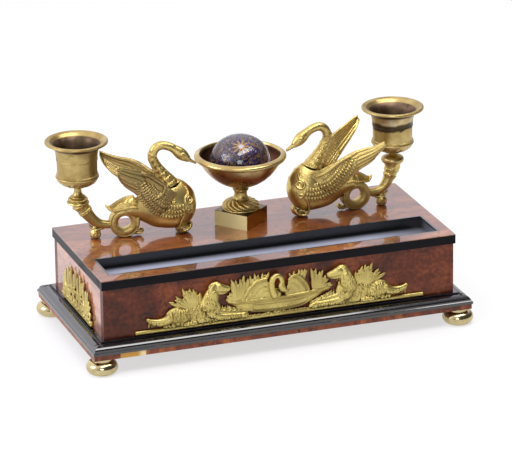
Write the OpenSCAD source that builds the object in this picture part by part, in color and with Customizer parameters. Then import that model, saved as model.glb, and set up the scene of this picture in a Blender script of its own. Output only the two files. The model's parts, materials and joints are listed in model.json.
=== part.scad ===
// Desk inkstand: a veneered case with a pen tray and an end drawer, on four
// ball feet. On top stand a tazza with a glass weight and two swans, whose
// necks and backs lift as the lids of an ink pot and a pounce pot, and whose
// tails carry candle cups. Relief mounts are pinned to the front and the ends.
// Millimetres, +Z up. The origin is the middle of the footprint on the desk.
// Front is -Y. Each swan is drawn in its own frame: X runs from its front
// foot towards its tail, Y across it, and Z up from the top of the case.

/* [Case] */
// Width over the ebonised edge band
band_w = 290; // [240:1:360]
// Depth over the edge band
band_d = 129.6; // [124:0.2:160]
// Height of the case walls between the bottom board and the top board
wall_h = 48.4; // [44:0.1:62]
// Thickness of the case walls
wall_t = 7; // [5:0.1:9]
// Thickness of the top board, which is also the height of the edge band
top_t = 7; // [5:0.1:9]
// Thickness of the edge band, which stands proud of the walls
band_t = 1.3; // [0.8:0.1:2]
// Thickness of the veneer sheet on the top
veneer_t = 0.6; // [0.4:0.1:1]
// Thickness of the bottom board
board_t = 4.2; // [3.8:0.1:8]
// Height of the moulding round the foot of the case
moulding_h = 8; // [6:0.1:8.4]
// Distance that the moulding stands out from the walls
moulding_out = 12.1; // [9:0.1:15]
// Set-back of the bottom board's edge under the moulding
board_inset = 0.8; // [0:0.1:2]

/* [Feet] */
// Radius of a flattened ball foot
foot_r = 12.3; // [9:0.1:16]
// Height of a foot, with its neck
foot_h = 13.1; // [11:0.1:18]
// Height of the ball itself
foot_ball_h = 10.8; // [7:0.1:10.8]
// Distance of a foot's axis from the moulding's edges
foot_inset = 9.2; // [6:0.1:14]

/* [Pen tray] */
// Width of the tray from front to back
tray_d = 38.5; // [30:0.1:46]
// Depth of the trough below the top
tray_depth = 8; // [6:0.1:9]
// Distance from the front of the edge band to the tray
tray_front = 11.3; // [8:0.1:16]
// Distance from each end of the edge band to the tray
tray_end = 9; // [7:0.1:14]
// Wall and floor thickness of the tray
tray_wall = 1.5; // [1:0.1:2]
// Radius of the cove along the front of the tray
tray_cove = 7; // [4:0.1:7.4]

/* [Drawer] */
// Length of the drawer from its front face
drawer_len = 190; // [120:1:200]
// Height of the rail under the drawer front
rail_low_h = 8.8; // [8.6:0.1:12]
// Height of the rail over the drawer front
rail_top_h = 4.2; // [4:0.1:8]
// Thickness of the drawer's sides and back
drawer_wall = 4; // [3:0.1:5]
// Thickness of the drawer's bottom
drawer_floor = 2.5; // [2:0.1:4]
// Gap round the drawer front
drawer_gap = 0.5; // [0.3:0.1:1]
// Gap between the drawer and its runners
runner_gap = 0.3; // [0.3:0.05:0.6]

/* [Tazza] */
// Place of the tazza on the top, left to right
tazza_x = -2.2; // [-6:0.1:6]
// Place of the tazza on the top, front to back
tazza_y = 22; // [18:0.1:24]
// Side of the square block
block_side = 30; // [24:0.5:36]
// Height of the block
block_h = 12.3; // [8:0.1:16]
// Turn of the block about its upright axis
block_turn = 38.5; // [0:0.5:45]
// Radius of the round foot
tazza_foot_r = 15; // [12:0.1:18]
// Height of the round foot
tazza_foot_h = 8.6; // [6:0.1:12]
// Height of the turned stem
stem_h = 10.2; // [8:0.1:16]
// Outer radius of the bowl's rolled rim
bowl_r = 36.4; // [32:0.1:44.4]
// Height of the bowl from the stem to the middle of its rim
bowl_h = 24.6; // [22:0.1:30]
// Width of the flat rim
rim_w = 5.2; // [4:0.1:7]
// Thickness of the bowl at its floor
bowl_floor = 3.2; // [2.4:0.1:5]
// Radius of the tie rod through the tazza
rod_r = 2; // [1.5:0.1:2.6]

/* [Glass weight] */
// Radius of the weight
weight_r = 23.5; // [20:0.1:24.5]
// Height from the weight's middle to its top
weight_h = 19.8; // [17:0.1:24]
// Radius of its flat base
weight_base_r = 14.5; // [10:0.1:16]

/* [Swans] */
// Turn of the left swan's line away from the front
left_turn = 9.2; // [0:0.1:12]
// Turn of the right swan's line
right_turn = 1; // [0:0.1:12]
// Distance of the left swan's front foot in front of the tazza's middle
left_front = 2.9; // [0:0.1:5]
// Distance of the right swan's front foot in front of the tazza's middle
right_front = 2.7; // [0:0.1:5]
// Gap between the left beak and the tazza's rim
left_beak_gap = 1.5; // [0.4:0.1:3]
// Gap between the right beak and the tazza's rim
right_beak_gap = 0.5; // [0.4:0.1:3]
// Width of a swan's body at its widest
body_w = 27; // [25:0.1:32]
// Gap round a lid
lid_gap = 0.35; // [0.3:0.05:0.6]
// Outer radius of an ink or pounce pot
pot_r = 7.5; // [6:0.1:8.4]
// Wall of a pot
pot_wall = 1; // [0.6:0.1:1.4]
// Depth of a pot
pot_depth = 24; // [20:0.1:26]
// Thickness of a wing
wing_t = 1.8; // [1.4:0.1:2.6]
// Outer radius of the coiled tail
ring_out_r = 12; // [10:0.1:13]
// Radius of the tail's tube
ring_tube_r = 3.5; // [2.5:0.1:4]
// Radius of a hinge pin
hinge_pin_r = 0.7; // [0.5:0.05:0.9]

/* [Candle cups] */
// Distance from the left swan's front foot to its cup's axis
left_cup_x = 78.6; // [74:0.1:90]
// Distance from the right swan's front foot to its cup's axis
right_cup_x = 75.2; // [74:0.1:90]
// Height of the cup's foot above the top of the case
cup_foot_h = 34.6; // [30:0.1:40]
// Height of the cup's mouth above its foot
cup_h = 46; // [40:0.1:52]
// Radius of the belt round the cup
cup_belt_r = 17; // [14:0.1:19]
// Step from the belt in to the cup's wall
belt_step = 1.3; // [0.8:0.1:2]
// Thickness of the cup's wall
cup_wall_t = 1; // [0.8:0.1:2]
// Radius of the drip pan's rolled rim
pan_r = 24.8; // [22:0.1:28]
// Thickness of the candle socket's wall
socket_wall_t = 1; // [0.6:0.1:1.6]
// Depth of the candle socket
socket_depth = 20; // [14:0.1:24]
// Gap between the drip pan and its cup
pan_gap = 0.3; // [0.3:0.05:0.5]

/* [Relief mounts] */
// Length of the front mount's ground strip
front_strip_w = 238; // [200:1:244]
// Length of an end mount's ground strip
end_strip_w = 74; // [60:1:84]
// Height of a ground strip
strip_h = 2.8; // [2:0.1:4]
// Thickness of the reeds and strips
mount_t = 2.4; // [1.8:0.1:4]
// Thickness of the dogs and the basin
relief_t = 5.2; // [4:0.1:7]
// Height of the front mount's foot above the moulding
mount_lift = 0.9; // [0.4:0.1:2]
// Radius of a mount pin
pin_r = 0.7; // [0.5:0.05:1]
// Length of a mount pin
pin_len = 5; // [4:0.1:6]

/* [Hidden] */
$fn = 96;
eps = 0.01;
fit = 0.05;
seat = 0.3;

case_w = band_w - 2 * band_t;
case_d = band_d - 2 * band_t;
plinth_w = case_w + 2 * moulding_out;
plinth_d = case_d + 2 * moulding_out;
wall_z = foot_h + board_t;
top_z = wall_z + wall_h;
deck_z = top_z + top_t + veneer_t;
inner_d = case_d - 2 * wall_t;

foot_x = plinth_w / 2 - foot_inset;
foot_y = plinth_d / 2 - foot_inset;
spigot_r = 2.5;
spigot_cover = 0.8;
spigot_len = board_t - spigot_cover;
foot_neck_lip = 0.8;

tray_len = band_w - 2 * tray_end;
tray_y = -band_d / 2 + tray_front;
tray_bottom = deck_z - tray_depth - tray_wall;

drawer_x = case_w / 2;
drawer_z = wall_z + rail_low_h;
drawer_top = top_z - rail_top_h;
side_up = 2;
side_headroom = 5.5;
side_clear = 1;
floor_up = 1;
drawer_side_z = drawer_z + side_up;
drawer_side_h = drawer_top - drawer_side_z - side_headroom;
drawer_outer = inner_d / 2 - side_clear;
runner_w = 6;
runner_z = drawer_side_z - runner_gap;
runner_h = 4;
stop_h = 6;
stop_len = 5;

// Tazza levels
tazza_foot_z = deck_z + block_h;
stem_z = tazza_foot_z + tazza_foot_h;
bowl_z = stem_z + stem_h;
rim_z = bowl_z + bowl_h;
rim_roll = 2.3;
bowl_in_r = bowl_r - rim_w;
bowl_in_h = rim_z - bowl_z - bowl_floor;
bowl_wall = 1.6;
stem_r = 5.2;
rod_head_h = 1.6;
rod_head_r = 4;
nut_r = 4;
nut_h = 2.5;

// Weight: an ellipse with a flat cut off its foot. Its gap is upright, over the sloping bowl.
weight_gap = 0.42;
weight_drop = weight_h * sqrt(1 - pow(weight_base_r / weight_r, 2));
weight_seat_z = rim_z - bowl_in_h * sqrt(1 - pow(weight_base_r / bowl_in_r, 2))
    + weight_gap;
weight_z = weight_seat_z + weight_drop;

// A swan: stations of its body as [x, height, half height, half width]
body_half = body_w / 2;
body_keys = [
    [-13.5, 24, 3.5, 2.5], [-12.4, 24, 9, 0.52 * body_half], [-9, 23.5, 13.8, 0.78 * body_half],
    [-3, 23.8, 18, 0.94 * body_half], [4, 24, 19.6, body_half], [12, 22.7, 17.8, body_half],
    [20, 21.8, 15.2, 0.9 * body_half], [28, 22, 11, 0.7 * body_half], [35, 22.3, 7.6, 0.48 * body_half],
    [41, 21.4, 5, 0.34 * body_half]
];
neck_keys = [
    [3, 36, 6, 6.4], [6.5, 42.5, 6.2, 6], [11.5, 49.5, 4.7, 4.6], [16.6, 56.5, 4, 3.9],
    [19.4, 63.5, 3.7, 3.6], [17.3, 70, 3.6, 3.5], [12, 72.6, 3.5, 3.4], [6, 71.1, 3.6, 3.5],
    [1, 68, 4.4, 4.1], [-4, 63.6, 4.6, 4.2], [-8.6, 60, 3, 3], [-12, 57.8, 1.7, 2.2],
    [-15.4, 56.2, 0.8, 1.2]
];
beak_tip = 15.8;
lid_front = [-4.5, 44.2];
lid_back = [24.5, 33.6];
lid_end = 21.5;
hinge_x = 24.5;
hinge_h = 37;
knuckle_r = 2;
knuckle_w = 5;
ear_w = 2.2;
leaf_t = 1.4;
strap_x = 13;
strap_h = 40.6;
seat_x = 28.5;
seat_t = 3;
seat_low = 28;

pot_x = 5.5;
pot_z = 10.2;

// Wing stations as [upper edge, lower edge], each [x, across, height]
wing_keys = [
    [[-1, 10.5, 33], [9, 11, 15]],
    [[7, 13.5, 40.5], [19, 12.4, 20]],
    [[19, 16.5, 47], [28, 14.4, 29]],
    [[33, 20.5, 54.5], [38.5, 18.5, 40]],
    [[46, 24.6, 60.5], [49, 23.6, 52]],
    [[57, 27.6, 64], [57.4, 27.6, 62.4]]
];
wing_bulge = 2.4;

shell_x = -2.5;
shell_h = 6;
shell_r = 6.5;
shell_w = 14;
leg_x = -3;
leg_h = 4;
leg_r = 5;
leg_len = 12;

ring_x = 42.7;
ring_h = ring_out_r;
ring_major = ring_out_r - ring_tube_r;
leaf_r = 16.4;
leaf_thick = 2.2;
leaf_half = 7.5;
leaf_from = 44;
leaf_to = 118;
leaf_root = [12, 7, 10];
sprig = [7, 5, 4.5];

horn_keys = [[52, 11.2, 3.2], [57.5, 11.3, 3.2], [64, 11.8, 3.4]];
horn_rise = [[-7.2, 16.2, 4.4], [-2.4, 23.6, 5.4], [-0.3, 30, 6.2]];
horn_collar_r = 7.2;
horn_collar_h = 2;
horn_top_r = 6.5;
ball_x = 66.2;
ball_r = 3.9;
ball_neck_r = 2.4;
ball_neck_h = 7;
stud_r = 1.5;
foot_stud_x = -2;
stud_up = 3;
stud_nut_r = 3.2;
stud_nut_h = 2.2;
stud_end = 0.6;

// Cup and candle socket: each wall stands inside the one before
cup_bore_r = cup_belt_r - belt_step - cup_wall_t;
socket_tube_r = cup_bore_r - pan_gap;
socket_r = socket_tube_r - socket_wall_t;

// Cup heights above its foot
knop_h = 6;
cup_stem_h = 9;
belt_h = 17.6;
cup_wall_z = cup_foot_h + 21;
pan_roll = 1.3;
pan_dish = 2.2;
pan_overlap = 3;

// Front mount: heights are above the ground strip's foot
left_dog_x = -110;
right_dog_x = 104.5;
basin_half = 41;
mount_z = wall_z + moulding_h + mount_lift;
end_mount_z = max(mount_z, drawer_z + drawer_gap + 0.2);

veneer_colour = [0.45, 0.19, 0.10];
ebony_colour = [0.06, 0.06, 0.08];
gilt_colour = [0.80, 0.64, 0.30];
pine_colour = [0.66, 0.50, 0.33];
glass_colour = [0.08, 0.10, 0.30];
steel_colour = [0.45, 0.45, 0.44];
pot_colour = [0.75, 0.78, 0.76];

// ---- Curves ----

// Catmull-Rom value between b and c, with a before and d after
function blend4(a, b, c, d, t) =
    0.5 * ((2 * b) + (c - a) * t + (2 * a - 5 * b + 4 * c - d) * t * t
    + (3 * b - a - 3 * c + d) * t * t * t);

// A smooth run of stations through the keys, with steps between each pair
function smooth(keys, steps) = [
    for (i = [0 : len(keys) - 2], k = [0 : steps - 1])
        blend4(keys[max(i - 1, 0)], keys[i], keys[i + 1], keys[min(i + 2, len(keys) - 1)], k / steps),
    keys[len(keys) - 1]
];

// Faces of a skin over rings of n points, with flat ends
function skin_faces(rings, n) = concat(
    [[for (j = [0 : n - 1]) j]],
    [for (i = [0 : rings - 2], j = [0 : n - 1])
        [i * n + j, (i + 1) * n + j, (i + 1) * n + (j + 1) % n, i * n + (j + 1) % n]],
    [[for (j = [n - 1 : -1 : 0]) (rings - 1) * n + j]]
);

// Ring of a limb in the XZ plane: s is [x, height, half depth, half width], a its slope
function limb_ring(s, a, n) = [
    for (j = [0 : n - 1])
        let (t = 360 * j / n)
        [s[0] - sin(a) * s[2] * cos(t), -s[3] * sin(t), s[1] + cos(a) * s[2] * cos(t)]
];

// A limb swept through its stations
module limb(stations, n = 16) {
    last = len(stations) - 1;
    rings = [
        for (i = [0 : last])
            let (d = stations[min(i + 1, last)] - stations[max(i - 1, 0)])
            limb_ring(stations[i], atan2(d[1], d[0]), n)
    ];
    polyhedron([for (r = rings) each r], skin_faces(last + 1, n), convexity = 6);
}

// A body of upright rings: stations as [x, height, half height, half width]
module upright_body(stations, grow = 0, n = 24) {
    rings = [for (s = stations) limb_ring(s + [0, 0, grow, grow], 0, n)];
    polyhedron([for (r = rings) each r], skin_faces(len(stations), n), convexity = 4);
}

// ---- Places ----

// Carries a swan's frame to its place: side -1 is the left swan, 1 the right
module at_swan(side) {
    turn = side < 0 ? 180 - left_turn : right_turn;
    front = side < 0 ? left_front : right_front;
    reach = bowl_r + (side < 0 ? left_beak_gap : right_beak_gap);
    tip_y = -front - beak_tip * sin(turn);
    foot_x_off = side * sqrt(reach * reach - tip_y * tip_y) + beak_tip * cos(turn);
    translate([tazza_x + foot_x_off, tazza_y - front, deck_z]) rotate([0, 0, turn]) children();
}

// ---- Case ----

module block(w, d, h, z) {
    translate([-w / 2, -d / 2, z]) cube([w, d, h]);
}

module bottom_board() {
    color(veneer_colour) difference() {
        block(plinth_w - 2 * board_inset, plinth_d - 2 * board_inset, board_t, foot_h);
        for (sx = [-1, 1], sy = [-1, 1])
            translate([sx * foot_x, sy * foot_y, foot_h - eps])
                cylinder(r = spigot_r + fit, h = spigot_len + 0.2 + eps);
    }
}

// Half section of the moulding, out from the middle of the case
function moulding_side(half) = concat(
    [[half + moulding_out, 0], [half + moulding_out, 0.24 * moulding_h],
     [half + 0.95 * moulding_out, 0.27 * moulding_h]],
    [for (a = [0 : 15 : 90])
        [half + (0.42 + 0.48 * cos(a)) * moulding_out, (0.32 + 0.52 * sin(a)) * moulding_h]],
    [[half + 0.34 * moulding_out, 0.72 * moulding_h], [half + 0.28 * moulding_out, 0.72 * moulding_h],
     [half + 0.28 * moulding_out, moulding_h]]
);

module moulding_section(half) {
    right = moulding_side(half);
    n = len(right);
    polygon(concat(right, [for (i = [n - 1 : -1 : 0]) [-right[i][0], right[i][1]]]));
}

module plinth_moulding() {
    long = plinth_w + plinth_d;
    color(ebony_colour) translate([0, 0, wall_z]) difference() {
        intersection() {
            translate([0, long / 2, 0]) rotate([90, 0, 0])
                linear_extrude(height = long) moulding_section(case_w / 2);
            translate([-long / 2, 0, 0]) rotate([90, 0, 90])
                linear_extrude(height = long) moulding_section(case_d / 2);
        }
        block(case_w, case_d, moulding_h + 2, -1);
    }
}

module long_panel(side) {
    translate([-case_w / 2, side > 0 ? case_d / 2 - wall_t : -case_d / 2, wall_z])
        cube([case_w, wall_t, wall_h]);
}

module front_panel() {
    color(veneer_colour) difference() {
        long_panel(-1);
        front_pin_places() pin_hole();
    }
}

module back_panel() {
    color(veneer_colour) long_panel(1);
}

module left_panel() {
    color(veneer_colour) difference() {
        translate([-case_w / 2, -inner_d / 2, wall_z]) cube([wall_t, inner_d, wall_h]);
        end_pin_places(-1) pin_hole();
    }
}

module right_rails() {
    color(veneer_colour) {
        translate([case_w / 2 - wall_t, -inner_d / 2, wall_z]) cube([wall_t, inner_d, rail_low_h]);
        translate([case_w / 2 - wall_t, -inner_d / 2, drawer_top]) cube([wall_t, inner_d, rail_top_h]);
    }
}

// Opening for the pen tray, through the top board and its veneer
module tray_opening() {
    translate([-tray_len / 2, tray_y, top_z - 1]) cube([tray_len, tray_d, top_t + veneer_t + 2]);
}

// Bores for the tie rod and the swans' studs
module deck_bores() {
    translate([tazza_x, tazza_y, top_z - 1]) cylinder(r = rod_r + fit, h = top_t + veneer_t + 2);
    for (side = [-1, 1], x = [foot_stud_x, ball_x])
        at_swan(side) translate([x, 0, -top_t - veneer_t - 1])
            cylinder(r = stud_r + fit, h = top_t + veneer_t + 2);
}

module top_board() {
    color(pine_colour) difference() {
        block(case_w, case_d, top_t, top_z);
        tray_opening();
        deck_bores();
    }
}

module edge_band() {
    color(ebony_colour) difference() {
        block(band_w, band_d, top_t, top_z);
        block(case_w, case_d, top_t + 2, top_z - 1);
    }
}

module top_veneer() {
    color(veneer_colour) difference() {
        block(band_w, band_d, veneer_t, top_z + top_t);
        tray_opening();
        deck_bores();
    }
}

// Trough: an upright back wall, a flat floor and a cove that rises to the front lip
module tray_trough() {
    inner_d2 = tray_d - 2 * tray_wall;
    union() {
        translate([tray_cove, 0]) square([inner_d2 - tray_cove, tray_depth + 1]);
        translate([tray_cove, tray_cove]) circle(r = tray_cove);
        translate([0, tray_cove]) square([inner_d2, tray_depth + 1 - tray_cove]);
    }
}

module pen_tray() {
    color(ebony_colour) difference() {
        translate([-tray_len / 2, tray_y, tray_bottom])
            cube([tray_len, tray_d, deck_z - tray_bottom]);
        translate([-tray_len / 2 + tray_wall, tray_y + tray_wall, tray_bottom + tray_wall])
            rotate([90, 0, 90]) linear_extrude(height = tray_len - 2 * tray_wall) tray_trough();
    }
}

// ---- Drawer ----

module drawer_runners() {
    back_x = drawer_x - drawer_len;
    start_x = back_x - stop_len - seat;
    run = case_w / 2 - wall_t - seat - start_x;
    color(pine_colour) for (s = [-1, 1])
        translate([start_x, s > 0 ? inner_d / 2 - runner_w : -inner_d / 2, runner_z - runner_h]) {
            cube([run, runner_w, runner_h]);
            cube([stop_len, runner_w, runner_h + stop_h]);
        }
}

module drawer_front() {
    h = drawer_top - drawer_z - 2 * drawer_gap;
    color(veneer_colour) difference() {
        translate([drawer_x - wall_t, -inner_d / 2 + drawer_gap, drawer_z + drawer_gap])
            cube([wall_t, inner_d - 2 * drawer_gap, h]);
        end_pin_places(1) pin_hole();
    }
}

module drawer_sides() {
    run = drawer_len - wall_t;
    color(pine_colour) for (s = [-1, 1])
        translate([drawer_x - drawer_len, s > 0 ? drawer_outer - drawer_wall : -drawer_outer, drawer_side_z])
            cube([run, drawer_wall, drawer_side_h]);
}

module drawer_back() {
    gap = 2 * (drawer_outer - drawer_wall);
    color(pine_colour)
        translate([drawer_x - drawer_len, -gap / 2, drawer_side_z])
            cube([drawer_wall, gap, drawer_side_h]);
}

module drawer_bottom() {
    gap = 2 * (drawer_outer - drawer_wall);
    color(pine_colour)
        translate([drawer_x - drawer_len + drawer_wall, -gap / 2, drawer_side_z + floor_up])
            cube([drawer_len - drawer_wall - wall_t, gap, drawer_floor]);
}

// ---- Feet ----

module foot() {
    bulge = foot_ball_h / 2;
    color(gilt_colour) rotate_extrude() {
        intersection() {
            union() {
                translate([foot_r - bulge, bulge]) circle(r = bulge);
                square([foot_r - bulge, foot_ball_h]);
            }
            square([foot_r + 1, foot_ball_h]);
        }
        square([0.52 * foot_r, foot_h - foot_neck_lip]);
        square([0.62 * foot_r, foot_h]);
        square([spigot_r, foot_h + spigot_len]);
    }
}

module foot_at(sx, sy) {
    translate([sx * foot_x, sy * foot_y, 0]) foot();
}

// ---- Relief mounts ----
// Each is drawn flat in XY, with Y as its height, and stood up on its wall.

module on_front() {
    translate([0, -case_d / 2, mount_z]) rotate([90, 0, 0]) children();
}

module on_end(side) {
    translate([side * case_w / 2, 0, end_mount_z]) rotate([90, 0, side * 90]) children();
}

module pin_hole() {
    translate([0, 0, mount_t - pin_len - 0.2]) cylinder(r = pin_r + fit, h = pin_len + 3);
}

module pin() {
    translate([0, 0, mount_t - pin_len]) cylinder(r = pin_r, h = pin_len);
}

front_pins = [[-116, strip_h / 2], [-75, 20], [75, 20], [116, strip_h / 2]];
end_pins = [[-33, strip_h / 2], [33, strip_h / 2], [0, 22]];

module front_pin_places() {
    on_front() for (p = front_pins) translate(p) children();
}

module end_pin_places(side) {
    on_end(side) for (p = end_pins) translate(p) children();
}

// Long-haired dog lying with its head up, from tail tip to paws
module dog() {
    polygon([
        [0, 10.8], [1.5, 2], [78, 2], [80, 5.5], [72, 7.8], [61.5, 8.2], [60.5, 16], [60.5, 22],
        [64.5, 22.6], [68, 28], [62.5, 32.6], [57, 34.8], [51, 31.5], [47.5, 25], [42, 20.5],
        [33, 18.4], [24, 17.6], [17, 14.5], [11, 9], [5, 8]
    ]);
}

// One pointed reed leaf from its root, leaning by its angle
module reed(x, y, lean, length, width) {
    translate([x, y]) rotate(-lean)
        polygon([[-width / 2, 0], [-0.6 * width, 0.45 * length], [0, length], [0.6 * width, 0.45 * length],
            [width / 2, 0]]);
}

module reed_fan(x, y, from, to, count, length, width) {
    for (i = [0 : count - 1])
        reed(x, y, from + (to - from) * i / (count - 1), length * (i % 2 == 0 ? 1 : 0.86), width);
}

module basin() {
    polygon([
        [-basin_half, 18], [basin_half, 18], [basin_half, 16], [30, 10.5], [17, 6.4], [9, 5.2], [7, 2],
        [-7, 2], [-9, 5.2], [-17, 6.4], [-30, 10.5], [-basin_half, 16]
    ]);
}

module front_mount() {
    color(gilt_colour) on_front() difference() {
        union() {
            translate([-front_strip_w / 2, 0, 0]) cube([front_strip_w, strip_h, mount_t]);
            linear_extrude(height = relief_t) {
                translate([left_dog_x, 0]) dog();
                translate([right_dog_x, 0]) mirror([1, 0]) dog();
            }
            linear_extrude(height = relief_t - 1) basin();
            linear_extrude(height = mount_t) {
                reed_fan(-27, 14, -32, 30, 7, 22, 4.4);
                reed_fan(22, 14, -30, 34, 7, 22, 4.4);
                reed_fan(-72, 14, -74, -14, 5, 20, 4);
                reed_fan(66, 14, 14, 74, 5, 20, 4);
            }
            // Swan's breast and curled neck over the basin
            translate([-4, 20, 0]) linear_extrude(height = relief_t - 0.6) {
                circle(r = 7);
                translate([0, 9]) circle(r = 6.4);
            }
        }
        for (p = front_pins) translate([p[0], p[1], -1]) cylinder(r = pin_r + fit, h = relief_t + 2);
    }
}

module end_mount(side) {
    color(gilt_colour) on_end(side) difference() {
        union() {
            translate([-end_strip_w / 2, 0, 0]) cube([end_strip_w, strip_h, mount_t]);
            linear_extrude(height = mount_t) intersection() {
                union() {
                    reed_fan(-14, 1, -62, 10, 6, 31, 6.5);
                    reed_fan(14, 1, -10, 62, 6, 31, 6.5);
                    reed_fan(0, 1, -20, 20, 3, 32, 7);
                }
                translate([-end_strip_w, 0]) square([2 * end_strip_w, 60]);
            }
        }
        for (p = end_pins) translate([p[0], p[1], -1]) cylinder(r = pin_r + fit, h = relief_t + 2);
    }
}

module mount_pins() {
    color(gilt_colour) {
        front_pin_places() pin();
        end_pin_places(-1) pin();
    }
}

module drawer_mount_pins() {
    color(gilt_colour) end_pin_places(1) pin();
}

// ---- Tazza ----

module at_tazza(z) {
    translate([tazza_x, tazza_y, z]) children();
}

module rod_bore(h) {
    translate([0, 0, -1]) cylinder(r = rod_r + fit, h = h + 2);
}

module tazza_block() {
    color(gilt_colour) at_tazza(deck_z) difference() {
        rotate([0, 0, block_turn]) block(block_side, block_side, block_h, 0);
        rod_bore(block_h);
    }
}

module tazza_foot() {
    color(gilt_colour) at_tazza(tazza_foot_z) difference() {
        rotate_extrude() polygon(concat(
            [[0, 0], [tazza_foot_r, 0], [tazza_foot_r, 0.16 * tazza_foot_h]],
            [for (a = [0 : 15 : 90])
                [tazza_foot_r * (0.4 + 0.56 * cos(a)), tazza_foot_h * (0.2 + 0.7 * sin(a))]],
            [[0.36 * tazza_foot_r, 0.9 * tazza_foot_h], [0.36 * tazza_foot_r, tazza_foot_h],
             [0, tazza_foot_h]]
        ));
        rod_bore(tazza_foot_h);
    }
}

module tazza_stem() {
    color(gilt_colour) at_tazza(stem_z) difference() {
        rotate_extrude() polygon([
            [0, 0], [stem_r, 0], [stem_r, 0.1 * stem_h], [4.3, 0.22 * stem_h], [3.9, 0.5 * stem_h],
            [4.3, 0.68 * stem_h], [6, 0.78 * stem_h], [6.2, 0.88 * stem_h], [5.4, stem_h], [0, stem_h]
        ]);
        rod_bore(stem_h);
    }
}

// Points of the bowl's hollow, from its middle out to the rim
function bowl_hollow(grow) = [
    for (a = [0 : 7.5 : 90])
        [(bowl_in_r + grow) * sin(a), rim_z - bowl_z - (bowl_in_h + grow) * cos(a)]
];

module tazza_bowl() {
    top = rim_z - bowl_z;
    color(gilt_colour) at_tazza(bowl_z) difference() {
        rotate_extrude() {
            difference() {
                union() {
                    polygon(concat([[0, 0]], [[stem_r, 0]],
                        [for (p = bowl_hollow(bowl_wall)) if (p[0] > stem_r) p], [[0, top]]));
                    translate([bowl_in_r, top - rim_roll]) square([rim_w - rim_roll, 2 * rim_roll]);
                    translate([bowl_r - rim_roll, top]) circle(r = rim_roll);
                }
                polygon(concat(bowl_hollow(0), [[bowl_in_r, top + 4], [0, top + 4]]));
            }
        }
        rod_bore(bowl_floor);
        translate([0, 0, bowl_floor - rod_head_h]) cylinder(r = rod_head_r + fit, h = 6);
    }
}

// Tie rod: its round head lies in the bowl's floor, its nut under the top board
module tazza_rod() {
    head_z = bowl_z + bowl_floor - rod_head_h;
    foot_z = top_z - nut_h - 1;
    color(steel_colour) at_tazza(0) {
        translate([0, 0, foot_z]) cylinder(r = rod_r, h = head_z - foot_z + eps);
        translate([0, 0, head_z]) cylinder(r = rod_head_r, h = rod_head_h - 0.2);
    }
}

module tazza_nut() {
    color(steel_colour) at_tazza(top_z - nut_h) difference() {
        cylinder(r = nut_r, h = nut_h, $fn = 6);
        translate([0, 0, -1]) cylinder(r = rod_r + fit, h = nut_h + 2);
    }
}

module glass_weight() {
    low = asin(-weight_drop / weight_h);
    color(glass_colour) at_tazza(weight_z) rotate_extrude()
        polygon(concat([[0, -weight_drop]],
            [for (i = [0 : 24]) let (a = low + (90 - low) * i / 24)
                [i == 24 ? 0 : weight_r * cos(a), weight_h * sin(a)]]));
}

// ---- Swans ----

function body_stations() = smooth(body_keys, 3);

// Slab above the lid's seam, which slopes from the neck down to the hinge
module above_seam(drop) {
    d = lid_back - lid_front;
    translate([lid_front[0], 0, lid_front[1] - drop]) rotate([0, -atan2(d[1], d[0]), 0])
        translate([-20, -30, 0]) cube([70, 60, 60]);
}

module swan_body() {
    color(gilt_colour) difference() {
        upright_body(body_stations());
        above_seam(lid_gap);
        translate([pot_x, 0, pot_z - seat]) cylinder(r = pot_r + seat, h = 60);
    }
}

module pot() {
    color(pot_colour) translate([pot_x, 0, pot_z - seat]) difference() {
        cylinder(r = pot_r, h = pot_depth + pot_wall);
        translate([0, 0, pot_wall]) cylinder(r = pot_r - pot_wall, h = pot_depth + 1);
    }
}

// Neck, head and the slice of back behind them, lifting as one piece
module lid() {
    color(gilt_colour) difference() {
        union() {
            intersection() {
                upright_body(body_stations());
                above_seam(0);
                translate([-20, -30, 0]) cube([20 + lid_end, 60, 60]);
            }
            intersection() {
                limb(smooth(neck_keys, 3));
                above_seam(0);
            }
        }
        hinge_clear();
    }
}

// Space round the hinge knuckle
module hinge_clear() {
    translate([hinge_x, 0, hinge_h]) rotate([90, 0, 0])
        translate([0, 0, -15]) cylinder(r = knuckle_r + lid_gap, h = 30);
}

// Leaf: a strap that lies on the slice of back, with the knuckle at its end
module hinge_leaf() {
    color(gilt_colour) difference() {
        union() {
            translate([hinge_x, knuckle_w / 2, hinge_h]) rotate([90, 0, 0])
                cylinder(r = knuckle_r, h = knuckle_w);
            hull() {
                translate([hinge_x - knuckle_r + 0.2, -knuckle_w / 2, hinge_h - 0.2])
                    cube([1, knuckle_w, leaf_t]);
                translate([strap_x, -knuckle_w / 2, strap_h]) cube([1, knuckle_w, leaf_t]);
            }
        }
        translate([hinge_x, knuckle_w, hinge_h]) rotate([90, 0, 0])
            cylinder(r = hinge_pin_r + fit, h = 2 * knuckle_w);
        upright_body(body_stations());
        limb(smooth(neck_keys, 3));
    }
}

// Seat: two ears on the swan's back that hold the hinge pin
module hinge_seat() {
    outer = knuckle_w / 2 + seat + ear_w;
    color(gilt_colour) difference() {
        union() {
            translate([seat_x, -outer, seat_low]) cube([seat_t, 2 * outer, hinge_h - seat_low]);
            for (s = [-1, 1])
                translate([hinge_x, s > 0 ? outer : -outer + ear_w, hinge_h]) rotate([90, 0, 0])
                    cylinder(r = knuckle_r, h = ear_w);
            for (s = [-1, 1])
                translate([hinge_x, s > 0 ? outer - ear_w : -outer, hinge_h - knuckle_r])
                    cube([seat_x - hinge_x + eps, ear_w, 2 * knuckle_r]);
        }
        translate([hinge_x, outer + 1, hinge_h]) rotate([90, 0, 0])
            cylinder(r = hinge_pin_r + fit, h = 2 * outer + 2);
        upright_body(body_stations());
    }
}

module hinge_pin() {
    outer = knuckle_w / 2 + seat + ear_w;
    color(steel_colour) translate([hinge_x, outer, hinge_h]) rotate([90, 0, 0])
        cylinder(r = hinge_pin_r, h = 2 * outer);
}

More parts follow.
